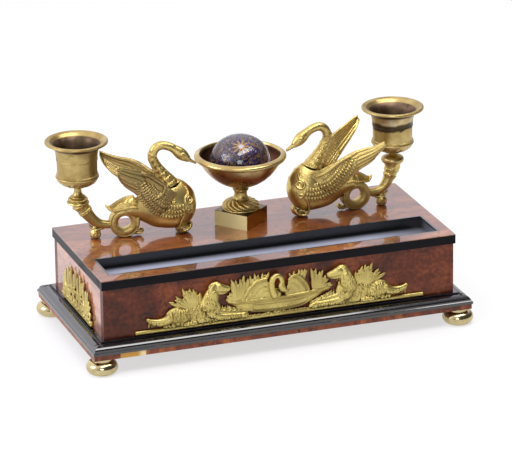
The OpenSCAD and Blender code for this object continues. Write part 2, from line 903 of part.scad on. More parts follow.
// Wing: a hollow-faced blade between its upper and lower edges
function wing_row(k, cols, out) = [
    for (j = [0 : cols])
        let (t = j / cols, p = k[0] + (k[1] - k[0]) * t, b = wing_bulge * sin(180 * t))
        [p[0], p[1] + b + out, p[2]]
];

module wing_blade() {
    cols = 6;
    rows = smooth(wing_keys, 3);
    n = 2 * (cols + 1);
    rings = [
        for (k = rows)
            let (inner = wing_row(k, cols, 0), outer = wing_row(k, cols, wing_t))
            concat(inner, [for (j = [cols : -1 : 0]) outer[j]])
    ];
    polyhedron([for (r = rings) each r], skin_faces(len(rows), n), convexity = 4);
}

module wing(across) {
    color(gilt_colour) difference() {
        mirror([0, across < 0 ? 1 : 0, 0]) wing_blade();
        upright_body(body_stations());
    }
}

// Shell foot under the breast, on a short scrolled leg
module front_foot() {
    color(gilt_colour) difference() {
        union() {
            intersection() {
                translate([shell_x, shell_w / 2, shell_h]) rotate([90, 0, 0])
                    cylinder(r = shell_r, h = shell_w);
                translate([-20, -shell_w, 0]) cube([40, 2 * shell_w, 12]);
            }
            translate([leg_x, 0, leg_h]) cylinder(r = leg_r, h = leg_len);
        }
        upright_body(body_stations());
        translate([foot_stud_x, 0, -1]) cylinder(r = stud_r + fit, h = stud_up + 1.2);
    }
}

// Coiled tail with the acanthus leaf that springs over it
module tail() {
    color(gilt_colour) difference() {
        union() {
            translate([ring_x, 0, ring_h]) rotate([90, 0, 0])
                rotate_extrude() translate([ring_major, 0]) circle(r = ring_tube_r, $fn = 48);
            translate([ring_x, 0, ring_h]) rotate([90, 0, 0]) rotate([0, 0, leaf_from])
                rotate_extrude(angle = leaf_to - leaf_from)
                    translate([leaf_r, -leaf_half]) square([leaf_thick, 2 * leaf_half]);
            translate([ring_x - 8, -leaf_root[1] / 2, ring_h + 6]) cube(leaf_root);
            translate([ring_x - ring_out_r - 2, -sprig[1] / 2, 0]) cube(sprig);
        }
        upright_body(body_stations());
    }
}

// Horn that rises from the tail to the cup, with the ball it stands on
module horn(cup_x) {
    rise = [for (k = horn_rise) k + [cup_x, 0, 0]];
    end = [[cup_x, cup_foot_h - horn_collar_h, horn_top_r]];
    stations = [for (s = smooth(concat(horn_keys, rise, end), 4)) [s[0], s[1], s[2], s[2]]];
    color(gilt_colour) difference() {
        union() {
            limb(stations, 20);
            translate([cup_x, 0, cup_foot_h - horn_collar_h]) cylinder(r = horn_collar_r, h = horn_collar_h);
            translate([ball_x, 0, ball_r]) sphere(r = ball_r, $fn = 48);
            translate([ball_x, 0, ball_r]) cylinder(r = ball_neck_r, h = ball_neck_h);
        }
        translate([ball_x, 0, -1]) cylinder(r = stud_r + fit, h = stud_up + 1.2);
        translate([ring_x, 0, ring_h]) rotate([90, 0, 0]) translate([0, 0, -10])
            cylinder(r = ring_out_r, h = 20);
    }
}

// Bell cup on a knop and a thin stem
module cup(cup_x) {
    rim = cup_h;
    color(gilt_colour) translate([cup_x, 0, cup_foot_h]) difference() {
        rotate_extrude() polygon([
            [0, 0], [7, 0], [7.8, 1], [7.8, 2.2], [7, 3], [6.4, 4.6], [4.4, knop_h], [3, knop_h + 0.8],
            [2.8, cup_stem_h - 0.6], [4.5, cup_stem_h], [9.5, cup_stem_h + 2], [14, belt_h - 4],
            [cup_belt_r - 0.4, belt_h - 1.2], [cup_belt_r, belt_h], [cup_belt_r - 0.3, belt_h + 1],
            [cup_belt_r - 1, belt_h + 1.6], [cup_belt_r - belt_step, belt_h + 6],
            [cup_belt_r - 1, belt_h + 14],
            [cup_belt_r - 0.2, rim - 6], [cup_belt_r + 0.6, rim - pan_overlap], [0, rim - pan_overlap]
        ]);
        translate([0, 0, cup_wall_z - cup_foot_h - 2]) cylinder(r = cup_bore_r, h = 60);
    }
}

// Drip pan: a dished rim and the candle socket that hangs in the cup
module drip_pan(cup_x) {
    flange = cup_h - pan_overlap + pan_gap;
    foot = cup_h - socket_depth - 3.6;
    color(gilt_colour) translate([cup_x, 0, cup_foot_h]) difference() {
        rotate_extrude() {
            polygon([
                [0, foot], [socket_tube_r, foot], [socket_tube_r, flange], [cup_belt_r + 1, flange],
                [pan_r - 3, cup_h - 1.4], [pan_r - pan_roll, cup_h - pan_roll],
                [pan_r - pan_roll, cup_h + pan_roll], [pan_r - 3.2, cup_h + 0.9], [0, cup_h + 0.9]
            ]);
            translate([pan_r - pan_roll, cup_h]) circle(r = pan_roll, $fn = 48);
        }
        rotate_extrude() polygon([
            [0, cup_h - pan_dish], [socket_r + 0.6, cup_h - pan_dish], [socket_r + 4, cup_h - 1.4],
            [pan_r - 4, cup_h + 0.9], [pan_r - 4, cup_h + 4], [0, cup_h + 4]
        ]);
        translate([0, 0, cup_h - pan_dish - socket_depth]) cylinder(r = socket_r, h = socket_depth + 4);
    }
}

// Studs that hold a swan down, with their nuts under the top board
module studs() {
    below = veneer_t + top_t;
    color(steel_colour) for (x = [foot_stud_x, ball_x]) {
        translate([x, 0, -below - stud_nut_h - stud_end])
            cylinder(r = stud_r, h = stud_up + below + stud_nut_h + stud_end);
        translate([x, 0, -below - stud_nut_h]) difference() {
            cylinder(r = stud_nut_r, h = stud_nut_h, $fn = 6);
            translate([0, 0, -1]) cylinder(r = stud_r + fit, h = stud_nut_h + 2);
        }
    }
}

// ---- Assembly ----

bottom_board();
plinth_moulding();
front_panel();
back_panel();
left_panel();
right_rails();
top_board();
edge_band();
top_veneer();
pen_tray();
drawer_runners();
drawer_front();
drawer_sides();
drawer_back();
drawer_bottom();
foot_at(-1, -1);  // foot_front_left
foot_at(1, -1);  // foot_front_right
foot_at(-1, 1);  // foot_back_left
foot_at(1, 1);  // foot_back_right
front_mount();
end_mount(-1);  // left_mount
end_mount(1);  // right_mount
mount_pins();
drawer_mount_pins();
tazza_block();
tazza_foot();
tazza_stem();
tazza_bowl();
tazza_rod();
tazza_nut();
glass_weight();
at_swan(-1) swan_body();  // left_body
at_swan(-1) pot();  // left_ink_pot
at_swan(-1) lid();  // left_lid
at_swan(-1) hinge_leaf();  // left_hinge_leaf
at_swan(-1) hinge_seat();  // left_hinge_seat
at_swan(-1) hinge_pin();  // left_hinge_pin
at_swan(-1) wing(1);  // left_near_wing
at_swan(-1) wing(-1);  // left_far_wing
at_swan(-1) front_foot();  // left_front_foot
at_swan(-1) tail();  // left_tail
at_swan(-1) horn(left_cup_x);  // left_horn
at_swan(-1) cup(left_cup_x);  // left_cup
at_swan(-1) drip_pan(left_cup_x);  // left_drip_pan
at_swan(-1) studs();  // left_studs
at_swan(1) swan_body();  // right_body
at_swan(1) pot();  // right_pounce_pot
at_swan(1) lid();  // right_lid
at_swan(1) hinge_leaf();  // right_hinge_leaf
at_swan(1) hinge_seat();  // right_hinge_seat
at_swan(1) hinge_pin();  // right_hinge_pin
at_swan(1) wing(-1);  // right_near_wing
at_swan(1) wing(1);  // right_far_wing
at_swan(1) front_foot();  // right_front_foot
at_swan(1) tail();  // right_tail
at_swan(1) horn(right_cup_x);  // right_horn
at_swan(1) cup(right_cup_x);  // right_cup
at_swan(1) drip_pan(right_cup_x);  // right_drip_pan
at_swan(1) studs();  // right_studs
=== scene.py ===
import bpy
import json
import random
from math import asin, atan2, copysign, cos, degrees, exp, hypot, pi, radians, sin, sqrt, tau
from mathutils import Matrix, Vector
from mathutils.bvhtree import BVHTree


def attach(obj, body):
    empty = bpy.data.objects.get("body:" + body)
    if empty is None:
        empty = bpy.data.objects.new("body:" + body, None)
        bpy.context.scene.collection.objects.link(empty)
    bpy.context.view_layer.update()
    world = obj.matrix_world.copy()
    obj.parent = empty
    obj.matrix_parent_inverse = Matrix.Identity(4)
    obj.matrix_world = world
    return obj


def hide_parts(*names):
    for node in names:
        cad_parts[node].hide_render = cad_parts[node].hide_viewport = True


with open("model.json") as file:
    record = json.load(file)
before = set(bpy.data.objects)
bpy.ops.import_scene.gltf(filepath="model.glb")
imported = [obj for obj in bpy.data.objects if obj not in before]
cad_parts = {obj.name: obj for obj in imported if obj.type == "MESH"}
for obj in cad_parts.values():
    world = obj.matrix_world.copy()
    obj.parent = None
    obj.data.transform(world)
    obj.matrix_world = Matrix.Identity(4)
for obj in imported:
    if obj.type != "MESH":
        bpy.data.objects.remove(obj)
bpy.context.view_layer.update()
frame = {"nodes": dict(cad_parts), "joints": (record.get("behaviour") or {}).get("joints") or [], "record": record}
nodes = frame["nodes"]
scene = bpy.context.scene
mm = 0.001


class Value:
    # a shader socket that adds its Math nodes as it is worked with
    def __init__(self, finish, socket):
        self.finish = finish
        self.socket = socket

    def math(self, operation, first, second=0.0):
        node = self.finish.node("ShaderNodeMath", {"operation": operation}, {0: first, 1: second})
        return Value(self.finish, node.outputs[0])

    def __add__(self, other):
        return self.math("ADD", self, other)

    def __sub__(self, other):
        return self.math("SUBTRACT", self, other)

    def __mul__(self, other):
        return self.math("MULTIPLY", self, other)

    def __truediv__(self, other):
        return self.math("DIVIDE", self, other)

    def __rsub__(self, other):
        return self.math("SUBTRACT", other, self)

    __radd__ = __add__
    __rmul__ = __mul__

    def above(self, edge, soft):  # 0 below the edge, 1 past it
        shifted = (self - (edge - soft)) / (2 * soft)
        return self.math("MINIMUM", self.math("MAXIMUM", shifted, 0.0), 1.0)


class Finish:
    # one material: constants on the shader's own sockets, patterns through nodes
    def __init__(self, name, **fixed):
        self.name = name
        self.material = bpy.data.materials.new(name)
        self.material.use_nodes = True
        self.tree = self.material.node_tree
        self.shader = self.tree.nodes["Principled BSDF"]
        for key, value in fixed.items():
            self.shader.inputs[key.replace("_", " ")].default_value = value

    def put(self, socket, value):
        if isinstance(value, Value):
            self.tree.links.new(value.socket, socket)
        elif hasattr(value, "links"):
            self.tree.links.new(value, socket)
        else:
            socket.default_value = value

    def node(self, kind, settings=None, inputs=None):
        node = self.tree.nodes.new(kind)
        for key, value in (settings or {}).items():
            if key == "stops":
                ramp = node.color_ramp
                while len(ramp.elements) < len(value):
                    ramp.elements.new(0.5)
                for element, (place, colour) in zip(ramp.elements, value):
                    element.position = place
                    element.color = colour
            else:
                setattr(node, key, value)
        for key, value in (inputs or {}).items():
            self.put(node.inputs[key], value)
        return node

    def feed(self, key, value):
        self.put(self.shader.inputs[key], value)

    def coords(self, stretch=(1, 1, 1)):
        place = self.node("ShaderNodeTexCoord").outputs["Object"]
        return self.node("ShaderNodeMapping", {}, {"Vector": place, "Scale": stretch}).outputs[0]

    def noise(self, scale, detail=3.0, stretch=(1, 1, 1), distortion=0.0):
        inputs = {"Vector": self.coords(stretch), "Scale": scale, "Detail": detail, "Distortion": distortion}
        return Value(self, self.node("ShaderNodeTexNoise", {}, inputs).outputs["Fac"])

    def cells(self, scale, stretch=(1, 1, 1)):
        inputs = {"Vector": self.coords(stretch), "Scale": scale}
        return Value(self, self.node("ShaderNodeTexVoronoi", {}, inputs).outputs["Distance"])

    def axis(self, name):
        split = self.node("ShaderNodeSeparateXYZ", {}, {0: self.coords()})
        return Value(self, split.outputs[name])

    def ramp(self, value, stops):
        solid = [(place, (*colour, 1)) for place, colour in stops]
        return self.node("ShaderNodeValToRGB", {"stops": solid}, {0: value}).outputs[0]

    def mix(self, factor, first, second):
        first = (*first, 1) if isinstance(first, tuple) else first
        second = (*second, 1) if isinstance(second, tuple) else second
        node = self.node("ShaderNodeMix", {"data_type": "RGBA"}, {0: factor, 6: first, 7: second})
        return node.outputs[2]

    def hollow(self, reach):  # 1 in the open, falling in creases
        node = self.node("ShaderNodeAmbientOcclusion", {"samples": 6}, {"Distance": reach})
        return Value(self, node.outputs["AO"])

    def done(self, colour, rough, height=None, depth=0.0, strength=1.0):
        self.feed("Base Color", colour)
        self.feed("Roughness", rough)
        if height:
            inputs = {"Height": height, "Distance": depth, "Strength": strength}
            self.feed("Normal", self.node("ShaderNodeBump", {}, inputs).outputs[0])
        finishes[self.name] = self.material


def shade(red, green, blue):  # a colour written as it looks on a screen
    def straight(c):
        c = c / 255
        return c / 12.92 if c <= 0.04045 else ((c + 0.055) / 1.055) ** 2.4
    return (straight(red), straight(green), straight(blue))


camera = {
    "place": (-0.947195, -2.708324, 1.121963),
    "azimuth": 19.325,
    "elevation": 19.992,
    "roll": -0.687,
    "lens": 273.79,
}


def setCamera():
    turn, tip = radians(camera["azimuth"]), radians(camera["elevation"])
    ahead = Vector((sin(turn) * cos(tip), cos(turn) * cos(tip), -sin(tip)))
    right = ahead.cross(Vector((0, 0, 1))).normalized()
    up = right.cross(ahead)
    roll = radians(camera["roll"])
    across = right * cos(roll) + up * sin(roll)
    over = up * cos(roll) - right * sin(roll)
    matrix = Matrix((across, over, -ahead)).transposed().to_4x4()
    matrix.translation = Vector(camera["place"])
    data = bpy.data.cameras.new("camera")
    data.lens = camera["lens"]
    data.clip_end = 60
    obj = bpy.data.objects.new("camera", data)
    obj.matrix_world = matrix
    scene.collection.objects.link(obj)
    scene.camera = obj


light = {
    "shadeSide": 0.10,
    "brightSide": 1.35,
    "toward": (-0.60, 0.66, 0.45),
    "key": {"place": (0.25, -0.5, 1.5), "size": (1.8, 0.42), "power": 17, "colour": (1, 0.98, 0.95)},
    "left": {"place": (-1.7, 0.1, 0.9), "size": (0.9, 0.9), "power": 12, "colour": (0.93, 0.94, 1)},
    "fill": {"place": (-0.9, -2.3, 0.9), "size": (0.9, 0.9), "power": 12, "colour": (1, 1, 1)},
}


def setLamp(name):
    facts = light[name]
    data = bpy.data.lights.new(name, "AREA")
    data.shape = "RECTANGLE"
    data.size, data.size_y = facts["size"]
    data.energy = facts["power"]
    data.color = facts["colour"]
    obj = bpy.data.objects.new(name, data)
    place = Vector(facts["place"])
    facing = (Vector((0, 0, 0.06)) - place).to_track_quat("-Z", "Y")
    obj.matrix_world = Matrix.Translation(place) @ facing.to_matrix().to_4x4()
    scene.collection.objects.link(obj)


def setSky():  # a studio that is bright behind and to the left, and dark in front
    world = bpy.data.worlds.new("studio")
    world.use_nodes = True
    scene.world = world
    tree = world.node_tree
    place = tree.nodes.new("ShaderNodeTexCoord").outputs["Generated"]
    facing = tree.nodes.new("ShaderNodeVectorMath")
    facing.operation = "DOT_PRODUCT"
    tree.links.new(place, facing.inputs[0])
    facing.inputs[1].default_value = Vector(light["toward"]).normalized()
    spread = tree.nodes.new("ShaderNodeMapRange")
    spread.interpolation_type = "SMOOTHSTEP"
    tree.links.new(facing.outputs["Value"], spread.inputs["Value"])
    spread.inputs["From Min"].default_value = -0.35
    spread.inputs["From Max"].default_value = 0.75
    spread.inputs["To Min"].default_value = light["shadeSide"]
    spread.inputs["To Max"].default_value = light["brightSide"]
    back = tree.nodes["Background"]
    back.inputs["Color"].default_value = (0.94, 0.93, 1.0, 1)
    tree.links.new(spread.outputs[0], back.inputs["Strength"])


def makeFloor():
    bpy.ops.mesh.primitive_plane_add(size=14, location=(0, 2, 0))
    floor = bpy.context.object
    floor.name = "floor"
    finish = Finish("paper")
    finish.feed("Base Color", (0.86, 0.86, 0.87, 1))
    finish.feed("Roughness", 0.9)
    rays = finish.node("ShaderNodeLightPath")
    seen = Value(finish, rays.outputs["Is Camera Ray"])
    seen = seen + Value(finish, rays.outputs["Is Glossy Ray"]) + Value(
        finish, rays.outputs["Is Transmission Ray"],
    )
    glow = finish.node("ShaderNodeEmission", {}, {"Color": (1, 1, 1, 1), "Strength": 1.0})
    blend = finish.node(
        "ShaderNodeMixShader", {}, {0: seen * 0.62, 1: finish.shader.outputs[0], 2: glow.outputs[0]},
    )
    output = finish.tree.nodes["Material Output"]
    finish.tree.links.new(blend.outputs[0], output.inputs["Surface"])
    floor.data.materials.append(finish.material)


bpy.ops.object.select_all(action="DESELECT")
setCamera()
for name in ("key", "left", "fill"):
    setLamp(name)
setSky()
makeFloor()
scene.view_settings.view_transform = "Standard"
print("stage: camera, light and floor")


finishes = {}  # by name, as Finish.done leaves them


frontEdgePatch = {  # a paler patch on the lower front edge, golden and turning cream toward its right end, and a pin hole
    "front": -0.0735, "left": -0.1342, "right": -0.1138, "paleFrom": -0.1185,
    "hole": (0.0107, 0.0151), "holeArea": 0.0000014,
}


def veneer(name, stretch, tones, coat, withPalePatch=False):
    look = Finish(name, Coat_Weight=coat, Coat_Roughness=0.02, Coat_IOR=1.75, IOR=1.3)
    cloud = look.noise(26, 4, stretch, 1.2)
    fleck = look.noise(330, 3, stretch)
    burl = look.cells(120, (1, 1, 1))
    streak = look.noise(95, 4, (stretch[0] * 0.25, stretch[1], stretch[2] * 3))
    figure = cloud * 0.7 + streak * 0.12 + fleck * 0.35 - 0.09
    colour = look.ramp(figure, [(0.32, tones[0]), (0.5, tones[1]), (0.68, tones[2])])
    spots = look.noise(150, 3, (1, 1, 1), 1.6).above(0.6, 0.05) * look.noise(38, 2).above(0.46, 0.08)
    colour = look.mix(spots * 0.7, colour, shade(40, 16, 10))
    eyes = (1 - burl.above(0.1, 0.04)) * cloud.above(0.55, 0.05)
    colour = look.mix(eyes * 0.5, colour, shade(52, 22, 14))
    if withPalePatch:
        along, across, up = look.axis("X"), look.axis("Y"), look.axis("Z")
        front = 1 - across.above(frontEdgePatch["front"], 0.0003)
        patch = along.above(frontEdgePatch["left"], 0.0004) * (1 - along.above(frontEdgePatch["right"], 0.0004)) * front
        pale = along.above(frontEdgePatch["paleFrom"], 0.0016)
        # a paler golden patch on the lower front edge, turning cream toward its right end
        colour = look.mix(patch * 0.95, colour, look.mix(pale, shade(190, 142, 52), shade(236, 214, 160)))
        x, z = along - frontEdgePatch["hole"][0], up - frontEdgePatch["hole"][1]
        hole = 1 - (x * x + z * z).above(frontEdgePatch["holeArea"], 0.0000005)
        colour = look.mix(hole * front, colour, shade(24, 12, 10))
    look.done(colour, 0.3 + fleck * 0.14, fleck, 0.00003, 0.2)


def ebonised(name, coat, gloss):
    look = Finish(name, Coat_Weight=coat, Coat_Roughness=0.05, Coat_IOR=gloss, IOR=1.15)
    grain = look.noise(220, 3, (0.15, 1, 1))
    rub = look.noise(60, 3).above(0.6, 0.06)
    colour = look.mix(grain, shade(6, 6, 9), shade(22, 20, 25))
    look.done(colour, 0.3 + rub * 0.15, grain, 0.00002, 0.2)


trayReflection = {"top": 0.0718, "right": 0.118, "back": -0.0232}  # the painted reflection on the floor ends at these


def trayBlack():  # the tray's black, with a painted pale bluish reflection over the front of its floor, fading toward the right end
    look = Finish("tray_finish", Coat_Weight=0.9, Coat_Roughness=0.1, Coat_IOR=1.6, IOR=1.3)
    cloud = look.noise(40, 3, (0.2, 1, 1))
    reflected = 1 - look.axis("Z").above(trayReflection["top"], 0.0004)
    reflected = reflected * (1 - look.axis("X").above(trayReflection["right"], 0.03))
    reflected = reflected * (1 - look.axis("Y").above(trayReflection["back"], 0.0045))
    # painted reflection: pale bluish grey over the front of the floor
    colour = look.mix(reflected * (0.6 + cloud * 0.7), shade(12, 12, 15), shade(176, 180, 200))
    look.done(colour, 0.28 + cloud * 0.15, look.noise(220, 3, (0.15, 1, 1)), 0.00002, 0.2)


def pine():
    look = Finish("pine", IOR=1.45)
    rings = look.noise(30, 3, (0.1, 1, 3), 1.5)
    colour = look.ramp(rings, [(0.35, shade(150, 112, 70)), (0.65, shade(196, 158, 108))])
    look.done(colour, 0.55 + rings * 0.2, look.noise(400, 2, (0.1, 1, 2)), 0.0001, 0.4)


def gilt(name, bright, deep, rough, reach=0.0024, stain=0.35):
    look = Finish(name, Metallic=1.0)
    clear = look.hollow(reach)
    worn = look.noise(90, 4)
    fine = look.noise(900, 3)
    punch = look.cells(620)
    soot = look.noise(38, 4).above(0.56, 0.1)
    # painted shade: the gilt turns to the deep tone in creases and hollows, where the AO node finds them
    colour = look.mix(clear.above(0.66, 0.3), deep, bright)
    colour = look.mix(worn.above(0.5, 0.16) * stain, colour, tuple(c * 0.62 for c in bright))
    colour = look.mix(soot * 0.35, colour, shade(108, 78, 40))
    colour = look.mix(fine.above(0.6, 0.12) * 0.3, colour, deep)
    look.done(colour, rough + worn * 0.16 + soot * 0.06, fine * 0.5 + punch * 0.6, 0.00022, 0.5)


def polishedBrass():
    look = Finish("polished_brass", Metallic=1.0)
    worn = look.noise(120, 3)
    colour = look.mix(worn.above(0.55, 0.1) * 0.35, shade(200, 184, 140), shade(140, 120, 78))
    look.done(colour, 0.1 + worn * 0.12)


def plainMetal(name, colour, rough):
    look = Finish(name, Metallic=1.0)
    worn = look.noise(200, 3)
    colour = look.mix(worn, colour, tuple(c * 0.7 for c in colour))
    look.done(colour, rough + worn * 0.15)


def giltShadedInside(name, bright, deep, insideShade, rough, stain=None, under=None):  # gilt outside; inside, a dark painted shade, mottled paler
    look = Finish(name, Metallic=1.0)
    worn = look.noise(90, 4)
    fine = look.noise(900, 3)
    cloud = look.noise(55, 4, (1, 1, 1), 0.8)
    marked = look.node("ShaderNodeAttribute", {"attribute_name": "inside"})  # see markInside
    inside = Value(look, marked.outputs["Fac"]).above(0.5, 0.45)
    colour = look.mix(worn.above(0.5, 0.16) * 0.55, bright, deep)
    if stain:  # a tarnished band round the right cup, with a pale bloom over it
        height, along = look.axis("Z"), look.axis("X")
        onRight = along.above(0.0, 0.001)
        edge = height + (cloud - 0.5) * 0.007
        band = edge.above(stain["low"], 0.0007) * (1 - edge.above(stain["high"], 0.0007))
        bloom = edge.above(stain["high"], 0.0012) * (1 - height.above(stain["bloomTop"], 0.0008))
        colour = look.mix(bloom * cloud.above(0.45, 0.12) * onRight * 0.5, colour, shade(222, 212, 186))
        colour = look.mix(band * onRight * 0.88, colour, shade(38, 32, 34))
        smudge = height.above(stain["smudge"], 0.002) * cloud.above(0.58, 0.05) * (1 - onRight) * (1 - inside)
        colour = look.mix(smudge * 0.7, colour, shade(84, 62, 40))
    if under:  # painted reflection: a redder tone below this height, where the bowl's underside mirrors the wooden top
        colour = look.mix((1 - look.axis("Z").above(under, 0.006)) * 0.75, colour, shade(150, 96, 58))
    # painted shade over the inside, lighter in clouds
    inner = look.mix(cloud.above(0.5, 0.08), insideShade, tuple(c * 3.2 for c in insideShade))
    colour = look.mix(inside * (0.82 + worn * 0.18), colour, inner)
    look.done(colour, rough + worn * 0.14 + inside * 0.12, fine * 0.5 + worn * 0.5, 0.00012, 0.4)


block = {"middle": (-0.0022, 0.022), "left": (-0.783, -0.623), "leftFrom": 0.0147, "topFrom": 0.0853}


def blockGilt():  # a painted reflection brightens its left face; dark on its top
    look = Finish("block_finish", Metallic=1.0)
    worn = look.noise(70, 4)
    x, y = look.axis("X") - block["middle"][0], look.axis("Y") - block["middle"][1]
    litLeftFace = (x * block["left"][0] + y * block["left"][1]).above(block["leftFrom"], 0.0002)
    top = look.axis("Z").above(block["topFrom"], 0.0001)
    colour = look.mix(worn.above(0.5, 0.2) * 0.4, shade(196, 158, 88), shade(156, 116, 60))
    # painted reflection: the left face turns near white gold
    colour = look.mix(litLeftFace * (0.75 + worn * 0.25), colour, shade(255, 246, 190))
    colour = look.mix(top * 0.9, colour, shade(58, 48, 34))
    look.done(colour, 0.14 + worn * 0.16 + litLeftFace * 0.42, look.noise(600, 3), 0.00006, 0.3)


weightStar = {
    "axis": (-0.12, -0.5, 0.86), "centre": (-0.0022, 0.022, 0.12485), "radius": 0.0148, "rays": 5, "size": 0.34,
}


def weightCore():  # blue with gold scrolls, and a star on its upper side with a painted highlight at its centre
    look = Finish("core_finish", Coat_Weight=0.3)
    axis = Vector(weightStar["axis"]).normalized()
    across = axis.cross(Vector((0, 0, 1))).normalized()
    over = across.cross(axis)
    centre = Vector(weightStar["centre"])
    x, y, z = look.axis("X") - centre.x, look.axis("Y") - centre.y, look.axis("Z") - centre.z

    def along(v):
        return (x * v.x + y * v.y + z * v.z) / weightStar["radius"]

    u, v, facing = along(across), along(over), along(axis)
    reach = u.math("SQRT", u * u + v * v)
    turn = u.math("ARCTAN2", v, u)
    front = facing.above(0.0, 0.02)
    spikes = turn.math("ABSOLUTE", turn.math("COSINE", turn * weightStar["rays"]))
    spikes = spikes * spikes * spikes
    star = (1 - reach.above(0.1, 0.02)) + (weightStar["size"] * spikes + 0.1 - reach).above(0.0, 0.03)
    star = star.math("MINIMUM", star, 1.0) * front
    curl = look.noise(150, 2, (1, 1, 1), 2.4)
    line = 1 - curl.math("ABSOLUTE", curl - 0.5).above(0.035, 0.014)
    cloud = look.noise(70, 3)
    dots = 1 - look.cells(260).above(0.16, 0.05)
    colour = look.ramp(cloud, [(0.35, shade(6, 8, 40)), (0.55, shade(18, 18, 76)), (0.7, shade(48, 40, 104))])
    colour = look.mix(line * 0.8, colour, shade(160, 118, 54))
    colour = look.mix(dots * cloud.above(0.5, 0.1) * 0.8, colour, shade(206, 200, 226))
    colour = look.mix(star * 0.95, colour, shade(214, 160, 66))
    # painted highlight: white at the star's centre
    colour = look.mix((1 - reach.above(0.12, 0.05)) * front, colour, shade(236, 226, 220))
    look.done(colour, 0.25)


def clearGlass():
    look = Finish("clear_glass_finish", Transmission_Weight=1.0, IOR=1.46)
    colour = look.mix(look.noise(30, 2), shade(252, 252, 255), shade(240, 242, 252))
    look.done(colour, look.noise(60, 2) * 0.02, look.noise(40, 2), 0.0001, 0.1)


veneers = {  # the figure's stretch, dark, middle and light tones, and the coat
    "top_veneer_finish": ((0.35, 1, 1), (78, 36, 18), (124, 66, 32), (166, 100, 54), 0.88),
    # painted light: the side copy of the veneer is painted darker than the top as shade, and the end copy paler as
    # lit
    "side_veneer_finish": ((0.9, 1, 1.1), (48, 18, 9), (90, 38, 17), (134, 68, 32), 0.1),
    "end_veneer_finish": ((1, 0.5, 1.6), (104, 56, 40), (162, 100, 76), (194, 130, 98), 1.0),
    "foot_veneer_finish": ((2.2, 2.2, 0.4), (70, 28, 12), (122, 56, 25), (160, 90, 42), 0.2),
}
for name, (stretch, dark, middle, light, coat) in veneers.items():
    tones = (shade(*dark), shade(*middle), shade(*light))
    veneer(name, stretch, tones, coat, withPalePatch=name == "foot_veneer_finish")
ebonised("ebonised_wood", 1.0, 1.8)
ebonised("band_finish", 0.06, 1.5)
trayBlack()
pine()
gilt("gilt_finish", shade(218, 193, 120), shade(88, 64, 28), 0.27)
# painted shade: a darker copy of the gilt for the left swan's wings
gilt("shaded_left_wing_finish", shade(190, 166, 108), shade(70, 52, 24), 0.3, 0.003, 0.5)
gilt("mount_finish", shade(212, 193, 118), shade(98, 78, 36), 0.34, 0.0016, 0.15)
# the third tone is the painted shade inside
cupTones = shade(192, 170, 112), shade(136, 106, 54), shade(64, 50, 44)
giltShadedInside("cup_finish", *cupTones, 0.3, {"low": 0.1382, "high": 0.1436, "bloomTop": 0.1495, "smudge": 0.1395})
giltShadedInside("pan_finish", *cupTones, 0.3)
giltShadedInside("bowl_finish", shade(206, 184, 124), shade(150, 120, 66), shade(74, 52, 46), 0.2, under=0.1235)
blockGilt()
weightCore()
clearGlass()
polishedBrass()
plainMetal("steel_finish", shade(150, 150, 148), 0.32)
plainMetal("white_metal_finish", shade(196, 198, 194), 0.28)
print("stage: finishes")


def dress(node, finish):
    nodes[node].data.materials.clear()
    nodes[node].data.materials.append(finishes[finish])


for name in nodes:
    slot = next(s["material_slot"] for s in frame["record"]["subparts"] if s["node"] == name)
    dress(name, {
        "burr_veneer": "side_veneer_finish", "ebonised_wood": "ebonised_wood", "pine": "pine",
        "gilt_brass": "gilt_finish", "polished_brass": "polished_brass", "blue_glass": "ebonised_wood",
        "steel": "steel_finish", "white_metal": "white_metal_finish",
    }[slot])
dress("top_veneer", "top_veneer_finish")
dress("bottom_board", "foot_veneer_finish")
dress("front_mount", "mount_finish")
dress("tazza_block", "block_finish")
dress("pen_tray", "tray_finish")
dress("edge_band", "band_finish")
dress("left_panel", "end_veneer_finish")
print("stage: node finishes")

# modelling helpers: local work is in millimetres, and settle() puts it in place


def pick(*things):
    bpy.ops.object.select_all(action="DESELECT")
    for obj in things:
        obj.select_set(True)
    bpy.context.view_layer.objects.active = things[0]


def meshed(points, faces):
    mesh = bpy.data.meshes.new("part")
    mesh.from_pydata([tuple(p) for p in points], [], faces)
    obj = bpy.data.objects.new("part", mesh)
    scene.collection.objects.link(obj)
    return obj


def joined(name, things):
    pick(*things)
    bpy.ops.object.join()
    obj = bpy.context.object
    obj.name = name
    obj.data.name = name
    return obj


def modify(obj, kind, **facts):
    pick(obj)
    modifier = obj.modifiers.new("work", kind)
    for key, value in facts.items():
        setattr(modifier, key, value)
    bpy.ops.object.modifier_apply(modifier=modifier.name)


def cast(obj, grain, rounds=2):  # melts shells into one skin, as a casting
    modify(obj, "REMESH", mode="VOXEL", voxel_size=grain)
    modify(obj, "SMOOTH", factor=0.5, iterations=rounds)
    return obj


def curve(a, b, c, d, f):  # passes through b and c as f goes from 0 to 1
    return 0.5 * (2 * b + (c - a) * f + (2 * a - 5 * b + 4 * c - d) * f * f + (3 * b - a - 3 * c + d) * f ** 3)


def about(keys, t):  # the four keys about a place on a run, and how far it is past the second
    last = len(keys) - 1
    k = min(int(t), last - 1)
    return keys[max(k - 1, 0)], keys[k], keys[k + 1], keys[min(k + 2, last)], t - k


def flow(keys, count):  # a smooth run through the keys
    run = []
    for i in range(count):
        *four, f = about(keys, i / (count - 1) * (len(keys) - 1))
        run.append([curve(*values, f) for values in zip(*four)])
    return run


def headingAt(run, i):  # which way a run of (x, up) points goes
    before, after = run[max(i - 1, 0)], run[min(i + 1, len(run) - 1)]
    return Vector((after[0] - before[0], 0, after[1] - before[1])).normalized()


def circle(steps, more=0):  # angles in even steps, and past the start again by more
    return [tau * j / steps for j in range(steps + more)]


